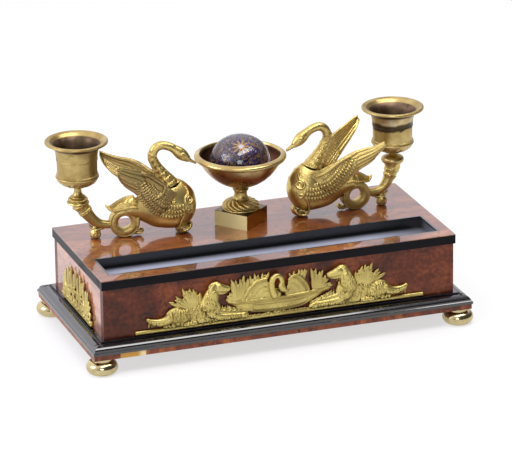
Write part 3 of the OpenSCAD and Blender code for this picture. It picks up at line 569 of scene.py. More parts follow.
def skin(rings):  # a closed skin over rings of points, with a pole at each end
    sides = len(rings[0])
    points = [Vector(p) for ring in rings for p in ring]
    points.append(sum((Vector(p) for p in rings[0]), Vector()) / sides)
    points.append(sum((Vector(p) for p in rings[-1]), Vector()) / sides)
    foot, top = len(points) - 2, len(points) - 1
    faces = []
    for j in range(sides):
        k = (j + 1) % sides
        for i in range(len(rings) - 1):
            faces.append((i * sides + j, i * sides + k, (i + 1) * sides + k, (i + 1) * sides + j))
        faces.append((foot, k, j))
        faces.append((top, foot - sides + j, foot - sides + k))
    return meshed(points, faces)


def tube(path, sizes, across=(0, 1, 0), sides=12):
    # sizes are (half across, half over) at each point of the path; the ends are rounded
    path = [Vector(p) for p in path]
    last = len(path) - 1
    sizes = [s if isinstance(s, (tuple, list)) else (s, s) for s in sizes]
    side = Vector(across)
    rings = []
    for i, place in enumerate(path):
        ahead = (path[min(i + 1, last)] - path[max(i - 1, 0)]).normalized()
        side = (side - ahead * side.dot(ahead)).normalized()
        over = ahead.cross(side)
        wide, deep = sizes[i]
        steps = [(0, 1)]
        if i == 0:
            steps = [(-0.8, 0.45), (-0.5, 0.8), (0, 1)]
        if i == last:
            steps = [(0, 1), (0.5, 0.8), (0.8, 0.45)]
        for shift, scale in steps:
            middle = place + ahead * shift * deep
            rings.append([
                middle + side * wide * scale * cos(a) + over * deep * scale * sin(a)
                for a in circle(sides)
            ])
    return skin(rings)


def pebble(place, out, along, sizes):
    # a small lens on a surface: sizes are half length, half width, half height
    out = out.normalized()
    along = (along - out * along.dot(out)).normalized()
    side = out.cross(along)
    long, wide, high = sizes
    rings = []
    for t in (-0.86, -0.5, 0, 0.5, 0.86):
        r = sqrt(1 - t * t)
        rings.append([
            place + along * long * t + side * wide * r * cos(a) + out * high * r * sin(a)
            for a in circle(6)
        ])
    return skin(rings)


def settle(obj, matrix):  # from millimetres in a piece's own frame to its place
    obj.data.transform(matrix @ Matrix.Scale(mm, 4))
    if matrix.determinant() < 0:
        obj.data.flip_normals()
    obj.data.update()


def finish(obj, node, look="gilt_finish", body="case", slot="gilt_brass", angle=35):
    pick(obj)  # the piece stands for the node
    bpy.ops.object.mode_set(mode="EDIT")
    bpy.ops.mesh.select_all(action="SELECT")
    bpy.ops.mesh.normals_make_consistent(inside=False)
    bpy.ops.object.mode_set(mode="OBJECT")
    bpy.ops.object.shade_smooth_by_angle(angle=radians(angle))
    obj.data.materials.clear()
    obj.data.materials.append(finishes[look])
    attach(obj, body)
    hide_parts(node)


def surfaceOf(obj):  # for laying ornament on a shape
    faces = [tuple(p.vertices) for p in obj.data.polygons]
    return BVHTree.FromPolygons([v.co for v in obj.data.vertices], faces)


def turned(name, centre, profile, sides=96):
    # profile is (radius, height) from the axis, out and back to the axis
    radius, height = profile[0]
    x, y, z = centre
    bpy.ops.object.select_all(action="DESELECT")
    bpy.ops.mesh.primitive_circle_add(
        vertices=sides, radius=radius * mm, location=(x * mm, y * mm, (z + height) * mm),
    )
    obj = bpy.context.object
    obj.name = name
    bpy.ops.object.transform_apply(location=True)
    bpy.ops.object.mode_set(mode="EDIT")
    bpy.ops.mesh.select_all(action="SELECT")
    bpy.ops.mesh.edge_face_add()
    for nextRadius, nextHeight in profile[1:]:
        bpy.ops.mesh.extrude_edges_move(TRANSFORM_OT_translate={"value": (0, 0, (nextHeight - height) * mm)})
        scale = nextRadius / radius
        bpy.ops.transform.resize(value=(scale, scale, 1), center_override=(x * mm, y * mm, 0))
        radius, height = nextRadius, nextHeight
    bpy.ops.mesh.edge_face_add()
    bpy.ops.object.mode_set(mode="OBJECT")
    return obj


def markInside(obj, sides, fromRing):  # lets a finish tell a turned piece's inside from its outside
    facts = obj.data.attributes.new("inside", "FLOAT", "POINT")
    for i, item in enumerate(facts.data):
        item.value = 1.0 if i // sides >= fromRing else 0.0


# the swans: x runs from the front foot to the tail, y across, z up from the case's top
swan = {
    "grain": 0.32,
    "body": [
        (-14.4, 24, 0.8, 0.7), (-14, 24, 4.6, 3.6), (-12.6, 24, 9.2, 7), (-9.2, 23.8, 14.2, 10.6),
        (-3, 24.2, 19, 12.8), (4, 24.4, 20.2, 13.5),
        (12, 22.7, 17.8, 13.5), (20, 21.8, 15.2, 12.2), (28, 22, 11, 9.4), (35, 22.3, 7.6, 6.5),
        (41, 21.4, 5, 4.6),
    ],
    "neck": [
        (4, 35, 8.4, 8.6), (8, 42, 7, 7.4), (12.4, 49.3, 5, 5.2), (16.6, 56.5, 3.9, 4),
        (19.4, 63.5, 3.6, 3.7),
        (17.3, 70, 3.5, 3.6), (12, 72.6, 3.4, 3.5), (6, 71.1, 3.4, 3.4), (2.2, 68.8, 3.5, 3.6),
        (-1.5, 65.9, 4.3, 4.6), (-5, 62.9, 4.2, 4.4), (-8, 60.4, 3.1, 3),
    ],
    "beak": [(-6, 61.9, 3.2, 2.6), (-9, 59.7, 2.7, 2), (-12, 57.9, 2.2, 1.3), (-15, 56.3, 1.5, 0.7)],
    "seam": ((-4.5, 44.2), (24.5, 33.6)),
    "lidEnd": 21.5,
    "lidGap": 0.45,
    "eye": (-4.4, 64),
    "neckRows": (5, 24, 3),
    "neckScale": (1.25, 0.8, 0.42),
    "neckPitch": 1.7,
    "fineScale": (1.3, 0.8, 0.6),
    "finePitch": 1.8,
    "narrowTop": 0.42,
    "potAxis": 5.5,
    "potBore": 7.8,
    "potFloor": 9.9,
    "scaleRows": [
        [
            (35, 51), (35, 45), (33.4, 40), (30, 33.5), (25, 26.5), (20, 22), (14, 18.6), (7, 17), (0, 17.6),
            (-5, 19),
        ],
        [
            (32, 50.5), (31, 45.5), (28.5, 40), (24.3, 33), (19, 27), (12.5, 23), (6, 21.2), (0, 21.3),
            (-5, 22.6),
        ],
        [(28.6, 49.6), (27, 44.6), (24, 39), (19.4, 33), (13.6, 28), (7, 25.2), (1, 24.9), (-4, 26)],
    ],
    "scale": (1.9, 1.0, 0.95),
    "scalePitch": 2.3,
    "fineRows": [
        [(25.4, 48), (23, 43), (19.4, 38), (14.6, 33), (9, 29.6), (3, 28.6)],
        [(22, 46), (19, 41.4), (15, 37.4), (10.5, 34)],
    ],
    "chestScroll": (-7.6, 29.6, 3.7),
    "lowScroll": (-7.4, 20.8, 2.3),
}

# wing edges from the root to the tip: (x, across, up) on the upper and the lower edge
wingRoot = [((-1, 10.5, 33), (9, 11, 15)), ((7, 13.5, 40.5), (19, 12.4, 20))]
wings = {
    "left_near_wing": {
        "side": 1,
        "edges": wingRoot + [
            ((21, 16.5, 51.5), (28, 14.4, 29)), ((30, 19, 58.6), (34.5, 17.5, 39.5)),
            ((41, 22, 62.7), (42, 20.5, 46.3)),
            ((47, 23.8, 64.8), (47.5, 22.5, 52)), ((50.7, 25, 65.6), (50.4, 24, 58)),
        ],
        "rim": [(30.5, 57.8), (25, 55), (19.5, 51.8), (14.6, 49.6), (12.4, 45), (14, 39.2), (18.5, 36)],
    },
    "left_far_wing": {
        "side": -1,
        "edges": wingRoot + [
            ((19.5, 16.5, 47.2), (28, 14.4, 29)), ((31.2, 20.5, 55), (38, 18.5, 37.5)),
            ((42.7, 23.5, 57.4), (47.5, 22, 44)), ((51.7, 26, 60), (54.2, 25, 51.3)),
            ((57, 27.6, 62), (56.8, 27.4, 58.3)),
        ],
        "rim": [(33, 54.3), (27, 51.5), (19.5, 46.4), (12, 42.2), (5, 38.5)],
    },
    "right_near_wing": {
        "side": -1,
        "edges": wingRoot + [
            ((19, 16.5, 47), (28, 14.4, 29)), ((33, 20.5, 55.2), (38.2, 18.5, 38.7)),
            ((41.8, 23, 57.9), (47.4, 21.5, 45)),
            ((50, 25.5, 59.8), (53.7, 24.5, 52.5)), ((56.6, 27.6, 62.9), (57.5, 27, 58.3)),
        ],
        "rim": [(34, 54), (28.5, 51.8), (22.6, 48.2), (16, 42.8), (10.5, 38.6), (5, 35.6)],
    },
    "right_far_wing": {
        "side": 1,
        "edges": wingRoot + [
            ((19, 16.5, 48), (28, 14.4, 29)), ((34.2, 20.5, 58.1), (39.5, 18.5, 42)),
            ((43.8, 23.5, 62.6), (49, 22, 51.6)),
            ((51.6, 26, 66.4), (55.6, 25, 59.3)), ((56.6, 27.6, 67.4), (58, 27.4, 64.2)),
        ],
        "rim": [(34.5, 56.6), (28.5, 53.4), (22, 48.6), (15, 43.4), (8, 39.4)],
    },
}


def swanPlace(side):  # each swan's frame, from its lid's hinge
    joint = next(j for j in frame["joints"] if j["name"] == side + "_lid_hinge")
    across = Vector(joint["axis"]).normalized()
    across.z = 0
    hinge = Vector(joint["pos_m"])
    if side == "left" and across.y > 0 or side == "right" and across.y < 0:
        across = -across
    along = across.cross(Vector((0, 0, 1)))
    origin = hinge - along * 24.5 * mm - Vector((0, 0, 37 * mm))
    matrix = Matrix((along, across, Vector((0, 0, 1)))).transposed().to_4x4()
    matrix.translation = origin
    return matrix


def eggRings(grow=0.0, count=56, sides=56):
    rings = []
    for x, h, high, wide in flow(swan["body"], count):
        narrow = swan["narrowTop"] * min(1, max(0, (16 - x) / 22))
        ring = []
        for a in circle(sides):
            up = cos(a)
            ring.append((x, (wide + grow) * sin(a) * (1 - narrow * max(0, up) ** 1.5), h + (high + grow) * up))
        rings.append(ring)
    return rings


def cutFlat(obj, place, out):  # takes off what lies on the side that out points to
    pick(obj)
    bpy.ops.object.mode_set(mode="EDIT")
    bpy.ops.mesh.select_all(action="SELECT")
    bpy.ops.mesh.bisect(plane_co=place, plane_no=out, use_fill=True, clear_outer=True)
    bpy.ops.object.mode_set(mode="OBJECT")


def cutSeam(obj, drop, keepUpper):
    (x0, h0), (x1, h1) = swan["seam"]
    out = Vector((h0 - h1, 0, x1 - x0)).normalized()
    cutFlat(obj, (x0, 0, h0 - drop), -out if keepUpper else out)


def onSide(trees, x, h, side):  # the outermost surface met from the side
    best = None
    for key, tree in trees.items():
        place, normal, _, _ = tree.ray_cast(Vector((x, side * 45, h)), Vector((0, -side, 0)))
        if place and (best is None or place.y * side > best[1].y * side):
            best = (key, place, normal if normal.y * side > 0 else -normal)
    return best


def evenly(path, pitch):  # points at an even pitch along a smooth path
    fine = [Vector(p) for p in flow(path, 240)]
    spots, since = [(fine[0], fine[1] - fine[0])], 0.0
    for a, b in zip(fine, fine[1:]):
        since += (b - a).length
        if since >= pitch:
            spots.append((b, b - a))
            since = 0.0
    return spots


def layRows(trees, rows, size, pitch, side, found):
    for row in rows:
        for (x, h), step in [((p.x, p.y), d) for p, d in evenly(row, pitch)]:
            hit = onSide(trees, x, h, side)
            if hit:
                key, place, normal = hit
                lean = Vector((-step.y, 0, step.x))
                found[key].append(pebble(place + normal * size[2] * 0.25, normal, lean, size))


def layRidge(trees, path, radius, side, found, count=28, lift=0.2):
    spots = {}
    for x, h in flow(path, count):
        hit = onSide(trees, x, h, side)
        if hit:
            spots.setdefault(hit[0], []).append(hit[1] + hit[2] * lift)
    for key, line in spots.items():
        if len(line) > 3:
            sizes = [radius * (0.55 + 0.45 * sin(pi * min(1, 0.15 + i / len(line)))) for i in range(len(line))]
            found[key].append(tube(line, sizes, sides=8))


def spiral(x, h, radius, turns=1.6, way=1, start=0.0, count=30):
    return [
        (x + radius * (1 - 0.78 * t) * cos(start + way * turns * tau * t),
         h + radius * (1 - 0.78 * t) * sin(start + way * turns * tau * t))
        for t in (i / (count - 1) for i in range(count))
    ]


def wingPoint(edges, u, v):  # u runs root to tip in steps of the edges, v from upper to lower
    *four, f = about(edges, u)
    upper, lower = (curve(*(Vector(pair[edge]) for pair in four), f) for edge in (0, 1))
    place = upper.lerp(lower, v)
    place.y += 2.4 * sin(pi * min(max(v, 0), 1))
    return place


def wingOut(edges, u, v):
    e = 0.04
    last = len(edges) - 1
    du = wingPoint(edges, min(u + e, last), v) - wingPoint(edges, max(u - e, 0), v)
    dv = wingPoint(edges, u, min(v + e, 1)) - wingPoint(edges, u, max(v - e, 0))
    out = du.cross(dv).normalized()
    return out if out.y > 0 else -out


def wingBlade(edges):
    rings = []
    last = len(edges) - 1
    for i in range(70):
        u = last * i / 69
        arm = 1 if u < 2.95 else 0
        outer, inner = [], []
        for j in range(15):
            v = j / 14
            out = wingOut(edges, u, v)
            thick = 0.55 + 0.75 * arm
            if arm:  # a hollow under the rim, and a raised band for the scales
                thick += 0.5 * min(1, max(0, (v - 0.42) / 0.12)) - 0.9 * exp(-((v - 0.22) / 0.12) ** 2)
            place = wingPoint(edges, u, v)
            sunk = 1 - min(1, u / 1.15) ** 1.5  # the root lies under the body's skin
            outer.append(place + out * (thick * (1 - sunk) - 2.2 * sunk))
            inner.append(place - out * (0.55 + 0.35 * arm + 2.2 * sunk))
        rings.append(outer + inner[::-1])
    return skin(rings)


def feathers(edges, count=6):
    found = []
    last = len(edges) - 1
    for i in range(count):
        v = (i + 0.5) / count
        end = last - 0.02 - 0.17 * i * (1 + 0.12 * i)
        steps = 26
        path, sizes = [], []
        for k in range(steps):
            t = k / (steps - 1)
            u = 2.8 + (end - 2.8) * t
            path.append(wingPoint(edges, u, v))
            width = (wingPoint(edges, u, 0) - wingPoint(edges, u, 1)).length / count * 0.62
            tip = sqrt(max(0.04, 1 - max(0, (t - 0.86) / 0.14) ** 2))
            sizes.append((max(width, 0.75) * tip, 1.3 - 0.55 * t))
        side = wingPoint(edges, 2.8, 1) - wingPoint(edges, 2.8, 0)
        found.append(tube(path, sizes, across=side, sides=14))
        shaft = []
        for k, p in enumerate(path):
            shaft.append(p + wingOut(edges, 2.8 + (end - 2.8) * k / (steps - 1), v) * sizes[k][1] * 0.86)
        found.append(tube(shaft[:-3], [0.42 - 0.2 * k / steps for k in range(steps - 3)], sides=6))
    return found


def innerScales(edges, found):  # small scales over the inner face of the arm
    rows = 9
    for i in range(rows):
        v = 0.1 + 0.82 * i / (rows - 1)
        for k in range(15):
            u = 0.9 + 2.0 * (k + (i % 2) * 0.5) / 15
            out = -wingOut(edges, u, v)
            along = wingPoint(edges, u + 0.1, v) - wingPoint(edges, u, v)
            found.append(pebble(wingPoint(edges, u, v) + out * 0.9, out, along, (1.35, 0.95, 0.5)))


def mirrorAcross(things):
    for obj in things:
        obj.data.transform(Matrix.Scale(-1, 4, (0, 1, 0)))


def makeSwan(side):
    place = swanPlace(side)
    body = skin(eggRings())
    bodyTree = surfaceOf(body)
    bodyParts = [body]
    for name in (side + "_near_wing", side + "_far_wing"):
        facts = wings[name]
        way = facts["side"]
        blade = wingBlade(facts["edges"])
        parts = [blade] + feathers(facts["edges"])
        innerScales(facts["edges"], parts)
        if way < 0:
            mirrorAcross(parts)
        found = {"wing": parts, "body": bodyParts}
        trees = {"wing": surfaceOf(blade), "body": bodyTree}
        layRows(trees, swan["scaleRows"], swan["scale"], swan["scalePitch"], way, found)
        layRows(trees, swan["fineRows"], swan["fineScale"], swan["finePitch"], way, found)
        layRidge(trees, facts["rim"], 1.75, way, found, 34, 0.55)
        x, h, r = swan["chestScroll"]
        flank = {"body": bodyTree}
        layRidge(
            flank, [(x + 2, h + 9), (x + 0.5, h + 6.5)] + spiral(x, h, r, 1.7, -1, 1.4), 0.85, way, found, 46,
        )
        x, h, r = swan["lowScroll"]
        layRidge(flank, [(-9.4, 27), (-10, 24.4)] + spiral(x, h, r, 1.3, 1, 2.6), 0.7, way, found, 30)
        wing = cast(joined(name, parts), swan["grain"])
        settle(wing, place)
        # the left swan's wings take the darker copy of the gilt, as painted shade
        finish(wing, name, "shaded_left_wing_finish" if side == "left" else "gilt_finish")

    shell = cast(joined(side + "_body", bodyParts), swan["grain"])
    cutSeam(shell, swan["lidGap"], False)
    bpy.ops.object.select_all(action="DESELECT")
    middle = (swan["potAxis"], 0, swan["potFloor"] + 30)
    bpy.ops.mesh.primitive_cylinder_add(vertices=72, radius=swan["potBore"], depth=60, location=middle)
    bore = bpy.context.object
    modify(shell, "BOOLEAN", operation="DIFFERENCE", object=bore, solver="EXACT")
    bpy.data.objects.remove(bore)
    settle(shell, place)
    finish(shell, side + "_body")
    print("stage:", side, "body and wings")
    makeLid(side, place)
    return place


def makeLid(side, place):
    back = skin(eggRings())
    cutFlat(back, (swan["lidEnd"], 0, 0), (1, 0, 0))
    cutSeam(back, 1.2, True)  # a little low, so that the last cut leaves a clean face
    spine = flow(swan["neck"], 60)
    neck = tube([(x, 0, h) for x, h, _, _ in spine], [keys[2:] for keys in spine], sides=32)
    parts = [back, neck]
    for lift, wider, deeper in ((0.35, 1, 0.62), (-0.75, 0.86, 0.45)):  # the beak's upper and lower half
        run = flow(swan["beak"], 16)
        sizes = [(wide * wider, deep * deeper) for _, _, wide, deep in run]
        parts.append(tube([(x, 0, h + lift) for x, h, _, _ in run], sizes, sides=20))
    neckTree = {"lid": surfaceOf(neck)}
    rows = []
    for i in range(*swan["neckRows"]):  # small feathers up the lower neck
        x, h, _, deep = spine[i]
        over = headingAt(spine, i).cross(Vector((0, 1, 0))) * deep * 0.9
        rows.append([(x - over.x, h - over.z), (x, h), (x + over.x, h + over.z)])
    for way in (1, -1):
        layRows(neckTree, rows, swan["neckScale"], swan["neckPitch"], way, {"lid": parts})
    eyeX, eyeUp = swan["eye"]
    for way in (1, -1):
        hit = onSide(neckTree, eyeX, eyeUp, way)
        if hit:
            parts.append(pebble(hit[1], hit[2], Vector((1, 0, 0.6)), (1.25, 0.95, 0.6)))
            turns = [0.3 * k for k in range(9)]
            brow = [onSide(neckTree, eyeX + 2.2 * cos(a), eyeUp + 0.2 + 1.7 * sin(a), way) for a in turns]
            brow = [b[1] + b[2] * 0.1 for b in brow if b]
            if len(brow) > 3:
                parts.append(tube(brow, [0.45] * len(brow), sides=6))
    lid = cast(joined(side + "_lid", parts), swan["grain"])
    cutSeam(lid, 0, True)
    settle(lid, place)
    finish(lid, side + "_lid", body=side + "_lid")
    print("stage:", side, "lid")


places = {side: makeSwan(side) for side in ("left", "right")}

tail = {
    "ring": (42.7, 12), "major": 8.5, "tube": (3.5, 4.5), "flange": 0.75,
    "leaf": [(32.8, 29), (35.2, 32.3), (40, 32.6), (45.5, 30.6), (50.5, 27.8), (54, 25.6), (57, 26.6)],
    "leafHalf": [5.6, 7.2, 7.6, 7.0, 5.6, 3.4, 0.9],
    "leafDroop": [4.5, 6.6, 6.6, 5.6, 4.0, 2.0, 0.3],
    "leafThick": 1.3,
    "grain": 0.3,
    "flangeReach": 11.2, "beadReach": 6.1, "face": 3.7,
    # the plate that carries the leaf, the leaf's core, and a curled sprig at the ring's foot: path and sizes
    "plate": (
        [(33.2, 0, 8), (32.6, 0, 14), (32.6, 0, 20), (33.6, 0, 26), (35.2, 0, 30.4)],
        [(4.6, 1.3), (5.4, 1.2), (5.8, 1.2), (6, 1.3), (5.6, 1.4)],
    ),
    "core": (
        [(36, 0, 20), (37.5, 0, 24.5), (41, 0, 27.8), (45, 0, 27.2), (48.5, 0, 24)],
        [(4, 3), (5, 3.4), (5.4, 3.6), (5, 3), (3, 2)],
    ),
    "sprig": (
        [(38, 0, 4), (34.5, 0, 2.7), (31.6, 0, 2.1), (29.4, 0, 2.5), (28.2, 0, 4.2), (28.9, 0, 5.6)],
        [(3.2, 2), (3, 1.6), (3.3, 1.3), (3.8, 1.1), (3.4, 1), (2.4, 0.8)],
    ),
    "lip": [(32.4, 4.9, 9), (31.8, 5.292, 15), (31.8, 5.586, 21), (32.8, 5.684, 27), (34.6, 5.39, 30.6)],
    "curl": [(32.5, 1.92, 3), (30.4, 2.64, 3.4), (29, 3.36, 4.8)],
}


def leafSheet():  # the acanthus leaf that springs over the ring
    rows, across = 56, 22
    leaf = zip(tail["leaf"], tail["leafHalf"], tail["leafDroop"])
    run = flow([(x, h, w, d) for (x, h), w, d in leaf], rows)
    top, under, edges = [], [], {1: [], -1: []}
    for i, (x, h, w, d) in enumerate(run):
        t = i / (rows - 1)
        w *= 1 + 0.03 * cos(tau * 6.5 * t)
        line, low = [], []
        for j in range(across + 1):
            v = 2 * j / across - 1
            rib = 0.16 * cos(pi * (13 * t - 3.2 * abs(v))) * abs(v) ** 0.5 * (1 - 0.6 * t)
            rib += 0.5 * exp(-(v / 0.09) ** 2)
            drop = d * abs(v) ** 1.9
            line.append((x - 1.1 * abs(v) * (1 - t), v * w, h - drop + rib))
            low.append((x - 1.1 * abs(v) * (1 - t), v * w * 0.97, h - drop - tail["leafThick"]))
        top.append(line)
        for way, j in ((1, across), (-1, 0)):
            edges[way].append(Vector(line[j]) - Vector((0, 0, 0.5)))
        under.append(low)
    sheet = skin([a + b[::-1] for a, b in zip(top, under)])
    parts = [sheet]
    for way in (1, -1):
        line = edges[way]
        parts.append(tube(line, [0.62] * len(line), sides=6))
        for place, step in evenly([tuple(p) for p in line[::4]], 1.75):
            middle = place + Vector((0, way * 0.35, -0.1))
            parts.append(pebble(middle, Vector((0, way, 0.2)), step, (0.95, 0.85, 0.85)))
    return parts


def makeTail(side, place):
    x0, h0 = tail["ring"]
    major, (high, wide) = tail["major"], tail["tube"]
    around, sides = 72, 32
    points, faces = [], []
    for i in range(around):
        a = tau * i / around
        for j in range(sides):
            b = tau * j / sides
            r = major + high * copysign(abs(cos(b)) ** 0.8, cos(b))
            points.append((x0 + r * cos(a), wide * copysign(abs(sin(b)) ** 0.75, sin(b)), h0 + r * sin(a)))
            k, m = (i + 1) % around, (j + 1) % sides
            faces.append((i * sides + j, k * sides + j, k * sides + m, i * sides + m))
    parts = [meshed(points, faces)]
    for way in (1, -1):  # flanges round both faces, and a fine bead inside them
        for reach, y, size in ((tail["flangeReach"], 1, tail["flange"]), (tail["beadReach"], 0.97, 0.45)):
            line = [(x0 + reach * cos(a), way * y * tail["face"], h0 + reach * sin(a)) for a in circle(60, 1)]
            parts.append(tube(line, [size] * 61, sides=8))
        parts.append(tube([(x, way * y, h) for x, y, h in tail["lip"]], [0.8] * 5, sides=8))
        parts.append(tube([(x, way * y, h) for x, y, h in tail["curl"]], [0.8, 0.8, 0.6], sides=8))
    parts.extend(leafSheet())
    for piece, sides in (("plate", 18), ("core", 18), ("sprig", 14)):
        parts.append(tube(*tail[piece], sides=sides))
    obj = cast(joined(side + "_tail", parts), tail["grain"])
    settle(obj, place)
    finish(obj, side + "_tail")


horn = {  # (x, up, radius), up to where the cup stands
    "left": [
        (50, 11, 3.4), (55.9, 10.6, 3.3), (61.8, 11.7, 3.6), (66.6, 14.8, 4.1), (70.8, 19.6, 4.7),
        (74.4, 25, 5.4), (77.2, 29.6, 6.2), (78.4, 32.6, 6.6),
    ],
    "right": [
        (50, 11.6, 3.2), (57, 11.8, 3), (62.6, 12.4, 3.2), (67, 14.8, 3.6), (70.3, 19, 4.2), (72.6, 24, 4.9),
        (74.4, 29, 5.7), (75, 32.6, 6.3),
    ],
    "rings": {
        "left": [
            (0.66, -0.1, 0.75), (0.69, 0.15, 0.5), (0.81, 0, 0.55), (0.835, 0.25, 0.8), (0.01, 0.3, 0.9),
        ],
        "right": [(0.7, -0.1, 0.55), (0.73, 0.1, 0.75), (0.86, 0, 0.5), (0.01, 0.3, 0.9)],
    },
    "collar": {  # (radius, up)
        "left": [
            (3, 29.6), (6.4, 29.6), (8, 29.9), (8.7, 30.4), (8.8, 31), (8.4, 31.6), (7.3, 31.9), (7, 32.3),
            (7.3, 32.7),
            (7.8, 33.2), (7.8, 33.9), (7.2, 34.4), (6.2, 34.6), (3, 34.6),
        ],
        "right": [
            (3, 29.6), (5.6, 29.6), (6.3, 30), (6.4, 30.7), (6.2, 31.4), (6.3, 32.4), (6.6, 33.6),
            (6.9, 34.2), (6.9, 34.6),
            (3, 34.6),
        ],
    },
    "ball": [
        (0.4, 0.05), (2.4, 0.45), (3.9, 1), (4.4, 3.2), (4.1, 5.4), (3, 7.2), (2.4, 8.2), (2.6, 9.4),
        (1, 11.4),
    ],
    "ballAt": 65.6,
    "hold": (
        [(57, 0, 9.2), (61, 0, 7.6), (64.5, 0, 7.4), (68, 0, 8.4), (70.6, 0, 11)],
        [(1.6, 1), (2.4, 1.1), (2.8, 1.2), (2.2, 1), (1.2, 0.8)],
    ),
    "grain": 0.3,
}


def makeHorn(side, place, cupX):
    run = flow(horn[side], 60)
    parts = [tube([(x, 0, h) for x, h, _ in run], [r for _, _, r in run], sides=36)]
    for t, grow, radius in horn["rings"][side]:
        i = int(t * 59)
        x, h, r = run[i]
        ahead = headingAt(run, i)
        level = Vector((0, 1, 0))
        over = ahead.cross(level)
        line = [Vector((x, 0, h)) + (level * cos(a) + over * sin(a)) * (r + grow) for a in circle(40, 1)]
        parts.append(tube(line, [radius] * 41, across=ahead, sides=8))
    x, h, r = run[52]
    for a in circle(9):  # a row of cut drops under the collar
        out = Vector((cos(a), sin(a), 0))
        parts.append(pebble(Vector((x, 0, h - 0.3)) + out * r, out, Vector((0, 0, 1)), (1.5, 1.0, 0.55)))
    middle = horn["ballAt"]
    rings = [[(middle + r * cos(a), r * sin(a), h) for a in circle(32)] for r, h in horn["ball"]]
    parts.append(skin(rings))
    for way in (1, -1):  # the ball is a scroll, with an eye on each side
        scroll = [(x, way * 3.7, h) for x, h in spiral(middle, 4.4, 3.3, 1.4, way, 1.6, 26)]
        parts.append(tube(scroll, [0.6] * 26, sides=8))
    parts.append(tube(*horn["hold"]))
    obj = cast(joined(side + "_horn", parts), horn["grain"])
    settle(obj, place)
    centre = place @ Vector((cupX * mm, 0, 0)) * 1000
    top = turned("collar", centre, horn["collar"][side])
    obj = joined(side + "_horn", [obj, top])
    finish(obj, side + "_horn")


scoop = {  # the front foot: a leaf that comes down from the breast and curls forward; (x, up, half width)
    "run": [
        (-1, 18, 12.2), (0.6, 14, 11.6), (1.6, 10, 10.4), (2, 6.4, 9), (1.3, 3.3, 7.8), (-0.6, 1.3, 7),
        (-3.6, 0.7, 6.4), (-6.8, 1.3, 5.8), (-9.4, 3, 5.2), (-10.8, 5.6, 4.6), (-10.4, 8, 3.8),
        (-9, 8.8, 2.8),
    ],
    "sheet": 0.55, "dish": 1.9, "rim": 0.95, "grain": 0.28,
    "curlMiddle": (-3.4, 8),
    "leg": (
        [(-2, 0, 16), (-1.4, 0, 12), (0.2, 0, 8), (1.6, 0, 4.6), (1.4, 0, 1.6)],
        [(3, 2.4), (2.6, 1.8), (2.2, 1.4), (2.2, 1.2), (3, 1)],
    ),
}


def makeFrontFoot(side, place):
    run = flow(scoop["run"], 64)
    rings, edges = [], {1: [], -1: []}
    for i, (x, h, w) in enumerate(run):
        ahead = headingAt(run, i)
        inward = Vector((-ahead.z, 0, ahead.x))
        if inward.x * (scoop["curlMiddle"][0] - x) + inward.z * (scoop["curlMiddle"][1] - h) < 0:
            inward = -inward
        outer, inner = [], []
        for j in range(17):
            v = j / 8 - 1
            flute = 0.22 * cos(pi * 5 * v) * sin(pi * i / 63)
            at = Vector((x, v * w, h)) + inward * (scoop["dish"] * v * v - flute)
            outer.append(at - inward * scoop["sheet"])
            inner.append(at + inward * scoop["sheet"])
        rings.append(outer + inner[::-1])
        for way in (1, -1):
            edges[way].append(Vector((x, way * w, h)) + inward * scoop["dish"])
    parts = [skin(rings)]
    for way in (1, -1):
        parts.append(tube(edges[way], [scoop["rim"]] * 64, sides=10))
    lip = [(run[-1][0], y, run[-1][1]) for y in (-2.4, -1.2, 0, 1.2, 2.4)]
    parts.append(tube(lip, [1.0] * 5, across=(1, 0, 0), sides=10))
    parts.append(tube(*scoop["leg"], sides=16))
    obj = cast(joined(side + "_front_foot", parts), scoop["grain"])
    cutFlat(obj, (0, 0, 0.02), (0, 0, -1))
    settle(obj, place)
    finish(obj, side + "_front_foot")


